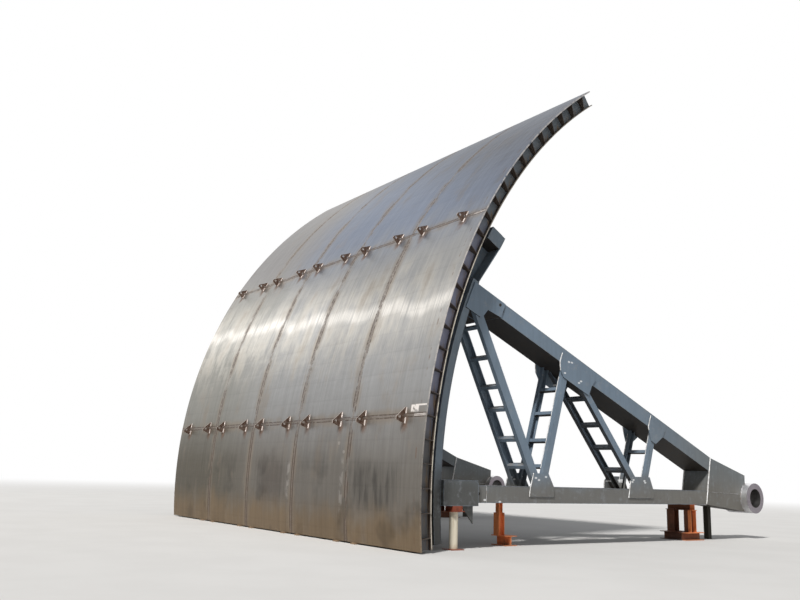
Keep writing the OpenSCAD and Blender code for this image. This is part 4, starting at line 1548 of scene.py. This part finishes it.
@dataclass
class Studio:
    """Plain pale floor, soft light and the camera at the photograph's viewing angle."""

    sizes: GateSizes
    floor_half: float = 400.0
    floor_tints: tuple[Rgb, Rgb] = ((0.64, 0.62, 0.59), (0.68, 0.66, 0.63))
    fade: tuple[float, float] = (22.0, 70.0)
    white: Rgb = (1.0, 1.0, 1.0)
    sky: Rgb = (0.90, 0.94, 1.0)
    sky_power: float = 0.40
    sun_at: Place = (-30.5, -16.5, 41.0)
    sun_to: Place = (0.0, 0.0, 4.0)
    sun_power: float = 3.2
    sun_angle: float = 0.10
    panel_at: Place = (-13.5, 26.0, 17.5)
    panel_to: Place = (-5.0, 0.0, 5.5)
    panel_power: float = 430.0
    panel_size: float = 9.0
    eye: Place = (-21.797951, -19.118989, 1.454664)
    yaw: float = 0.617624
    pitch: float = 0.205562
    roll: float = 0.030968
    focal_px: float = 834.556
    image_w: int = 800
    sensor_mm: float = 36.0
    far_clip: float = 2000.0

    def build_floor(self) -> None:
        """Lays the floor, which fades into the white background far away."""
        e = self.floor_half
        mesh = bpy.data.meshes.new("yard_floor")
        mesh.from_pydata([(-e, -e, 0.0), (e, -e, 0.0), (e, e, 0.0), (-e, e, 0.0)], [], [(0, 1, 2, 3)])
        floor = new_object("yard_floor", mesh)
        g = Surface("pale_floor")
        here, x, y, _ = g.place()
        seen = Term(g, g.add("ShaderNodeLightPath").outputs["Is Camera Ray"])
        tint = g.mix(g.smooth(g.noise(here, 0.6, 4.0), 0.35, 0.65) * 0.5, *self.floor_tints)
        ground = g.add("ShaderNodeBsdfDiffuse", None, {"Color": tint}).outputs[0]
        glow = g.add("ShaderNodeEmission", None, {"Color": self.white, "Strength": 1.0}).outputs[0]
        mixed = g.blend(seen * g.smooth(g.span(x, y), *self.fade), ground, glow)
        g.add("ShaderNodeOutputMaterial", None, {0: mixed})
        mesh.materials.append(g.material)

    def build_world(self) -> None:
        """White behind the object, soft light on it."""
        world = bpy.data.worlds.new("pale_studio")
        bpy.context.scene.world = world
        world.use_nodes = True
        g = Graph(world.node_tree)
        ray = g.add("ShaderNodeLightPath").outputs
        mirrored = g.most(Term(g, ray["Is Glossy Ray"]), Term(g, ray["Is Transmission Ray"]))
        seen = g.most(Term(g, ray["Is Camera Ray"]), mirrored)
        soft = g.add("ShaderNodeBackground", None, {0: self.sky, 1: self.sky_power}).outputs[0]
        white = g.add("ShaderNodeBackground", None, {0: self.white, 1: 1.0}).outputs[0]
        g.add("ShaderNodeOutputWorld", None, {0: g.blend(seen, soft, white)})

    def lamp(self, name: str, kind: str, energy: float, spot: Place, target: Place, **more: float) -> None:
        """Adds a lamp.

        Args:
            name: its name.
            kind: its type.
            energy: its power.
            spot: where it stands.
            target: where it points.
            more: further properties.
        """
        data = bpy.data.lights.new(name, kind)
        data.energy = energy
        for key, value in more.items():
            setattr(data, key, value)
        turn = (Vector(target) - Vector(spot)).to_track_quat("-Z", "Y").to_matrix().to_4x4()
        new_object(name, data).matrix_world = Matrix.Translation(spot) @ turn

    def build_lights(self) -> None:
        """A soft key from the sun's side and a wide soft panel on the far side, above the skin."""
        self.lamp("key", "SUN", self.sun_power, self.sun_at, self.sun_to, angle=self.sun_angle)
        self.lamp("panel", "AREA", self.panel_power, self.panel_at, self.panel_to, size=self.panel_size)

    def build_camera(self) -> None:
        """Sets the camera that was solved from the photograph."""
        cy, sy = math.cos(self.yaw), math.sin(self.yaw)
        cp, sp = math.cos(self.pitch), math.sin(self.pitch)
        cr, sr = math.cos(self.roll), math.sin(self.roll)
        ahead = Vector((sy * cp, cy * cp, sp))
        right = Vector((cy, -sy, 0.0))
        above = right.cross(ahead)
        right, above = right * cr + above * sr, above * cr - right * sr
        data = bpy.data.cameras.new("camera")
        data.sensor_width = self.sensor_mm
        data.lens = self.focal_px * self.sensor_mm / self.image_w
        data.clip_end = self.far_clip
        camera = new_object("camera", data)
        turn = Matrix((right, above, -ahead)).transposed().to_4x4()
        x, y, z = self.eye
        camera.matrix_world = Matrix.Translation((x + self.sizes.axis_x, y, z)) @ turn
        bpy.context.scene.camera = camera

    def build(self) -> None:
        """Builds the studio."""
        self.build_floor()
        self.build_world()
        self.build_lights()
        self.build_camera()
        bpy.context.scene.view_settings.view_transform = "Standard"


def main() -> None:
    """Builds the gate's looks piece by piece."""
    logging.basicConfig(level=logging.INFO, format="%(name)s %(message)s")
    welds = WeldShop()
    gate = [kind(SIZES, welds) for kind in (SkinPlate, Stiffening, GirderGrid, Arms)]
    for part in (*gate, YardStands(SIZES), Studio(SIZES)):
        part.build()
        LOG.info("%s done", type(part).__name__)


if __name__ == "__main__":
    main()
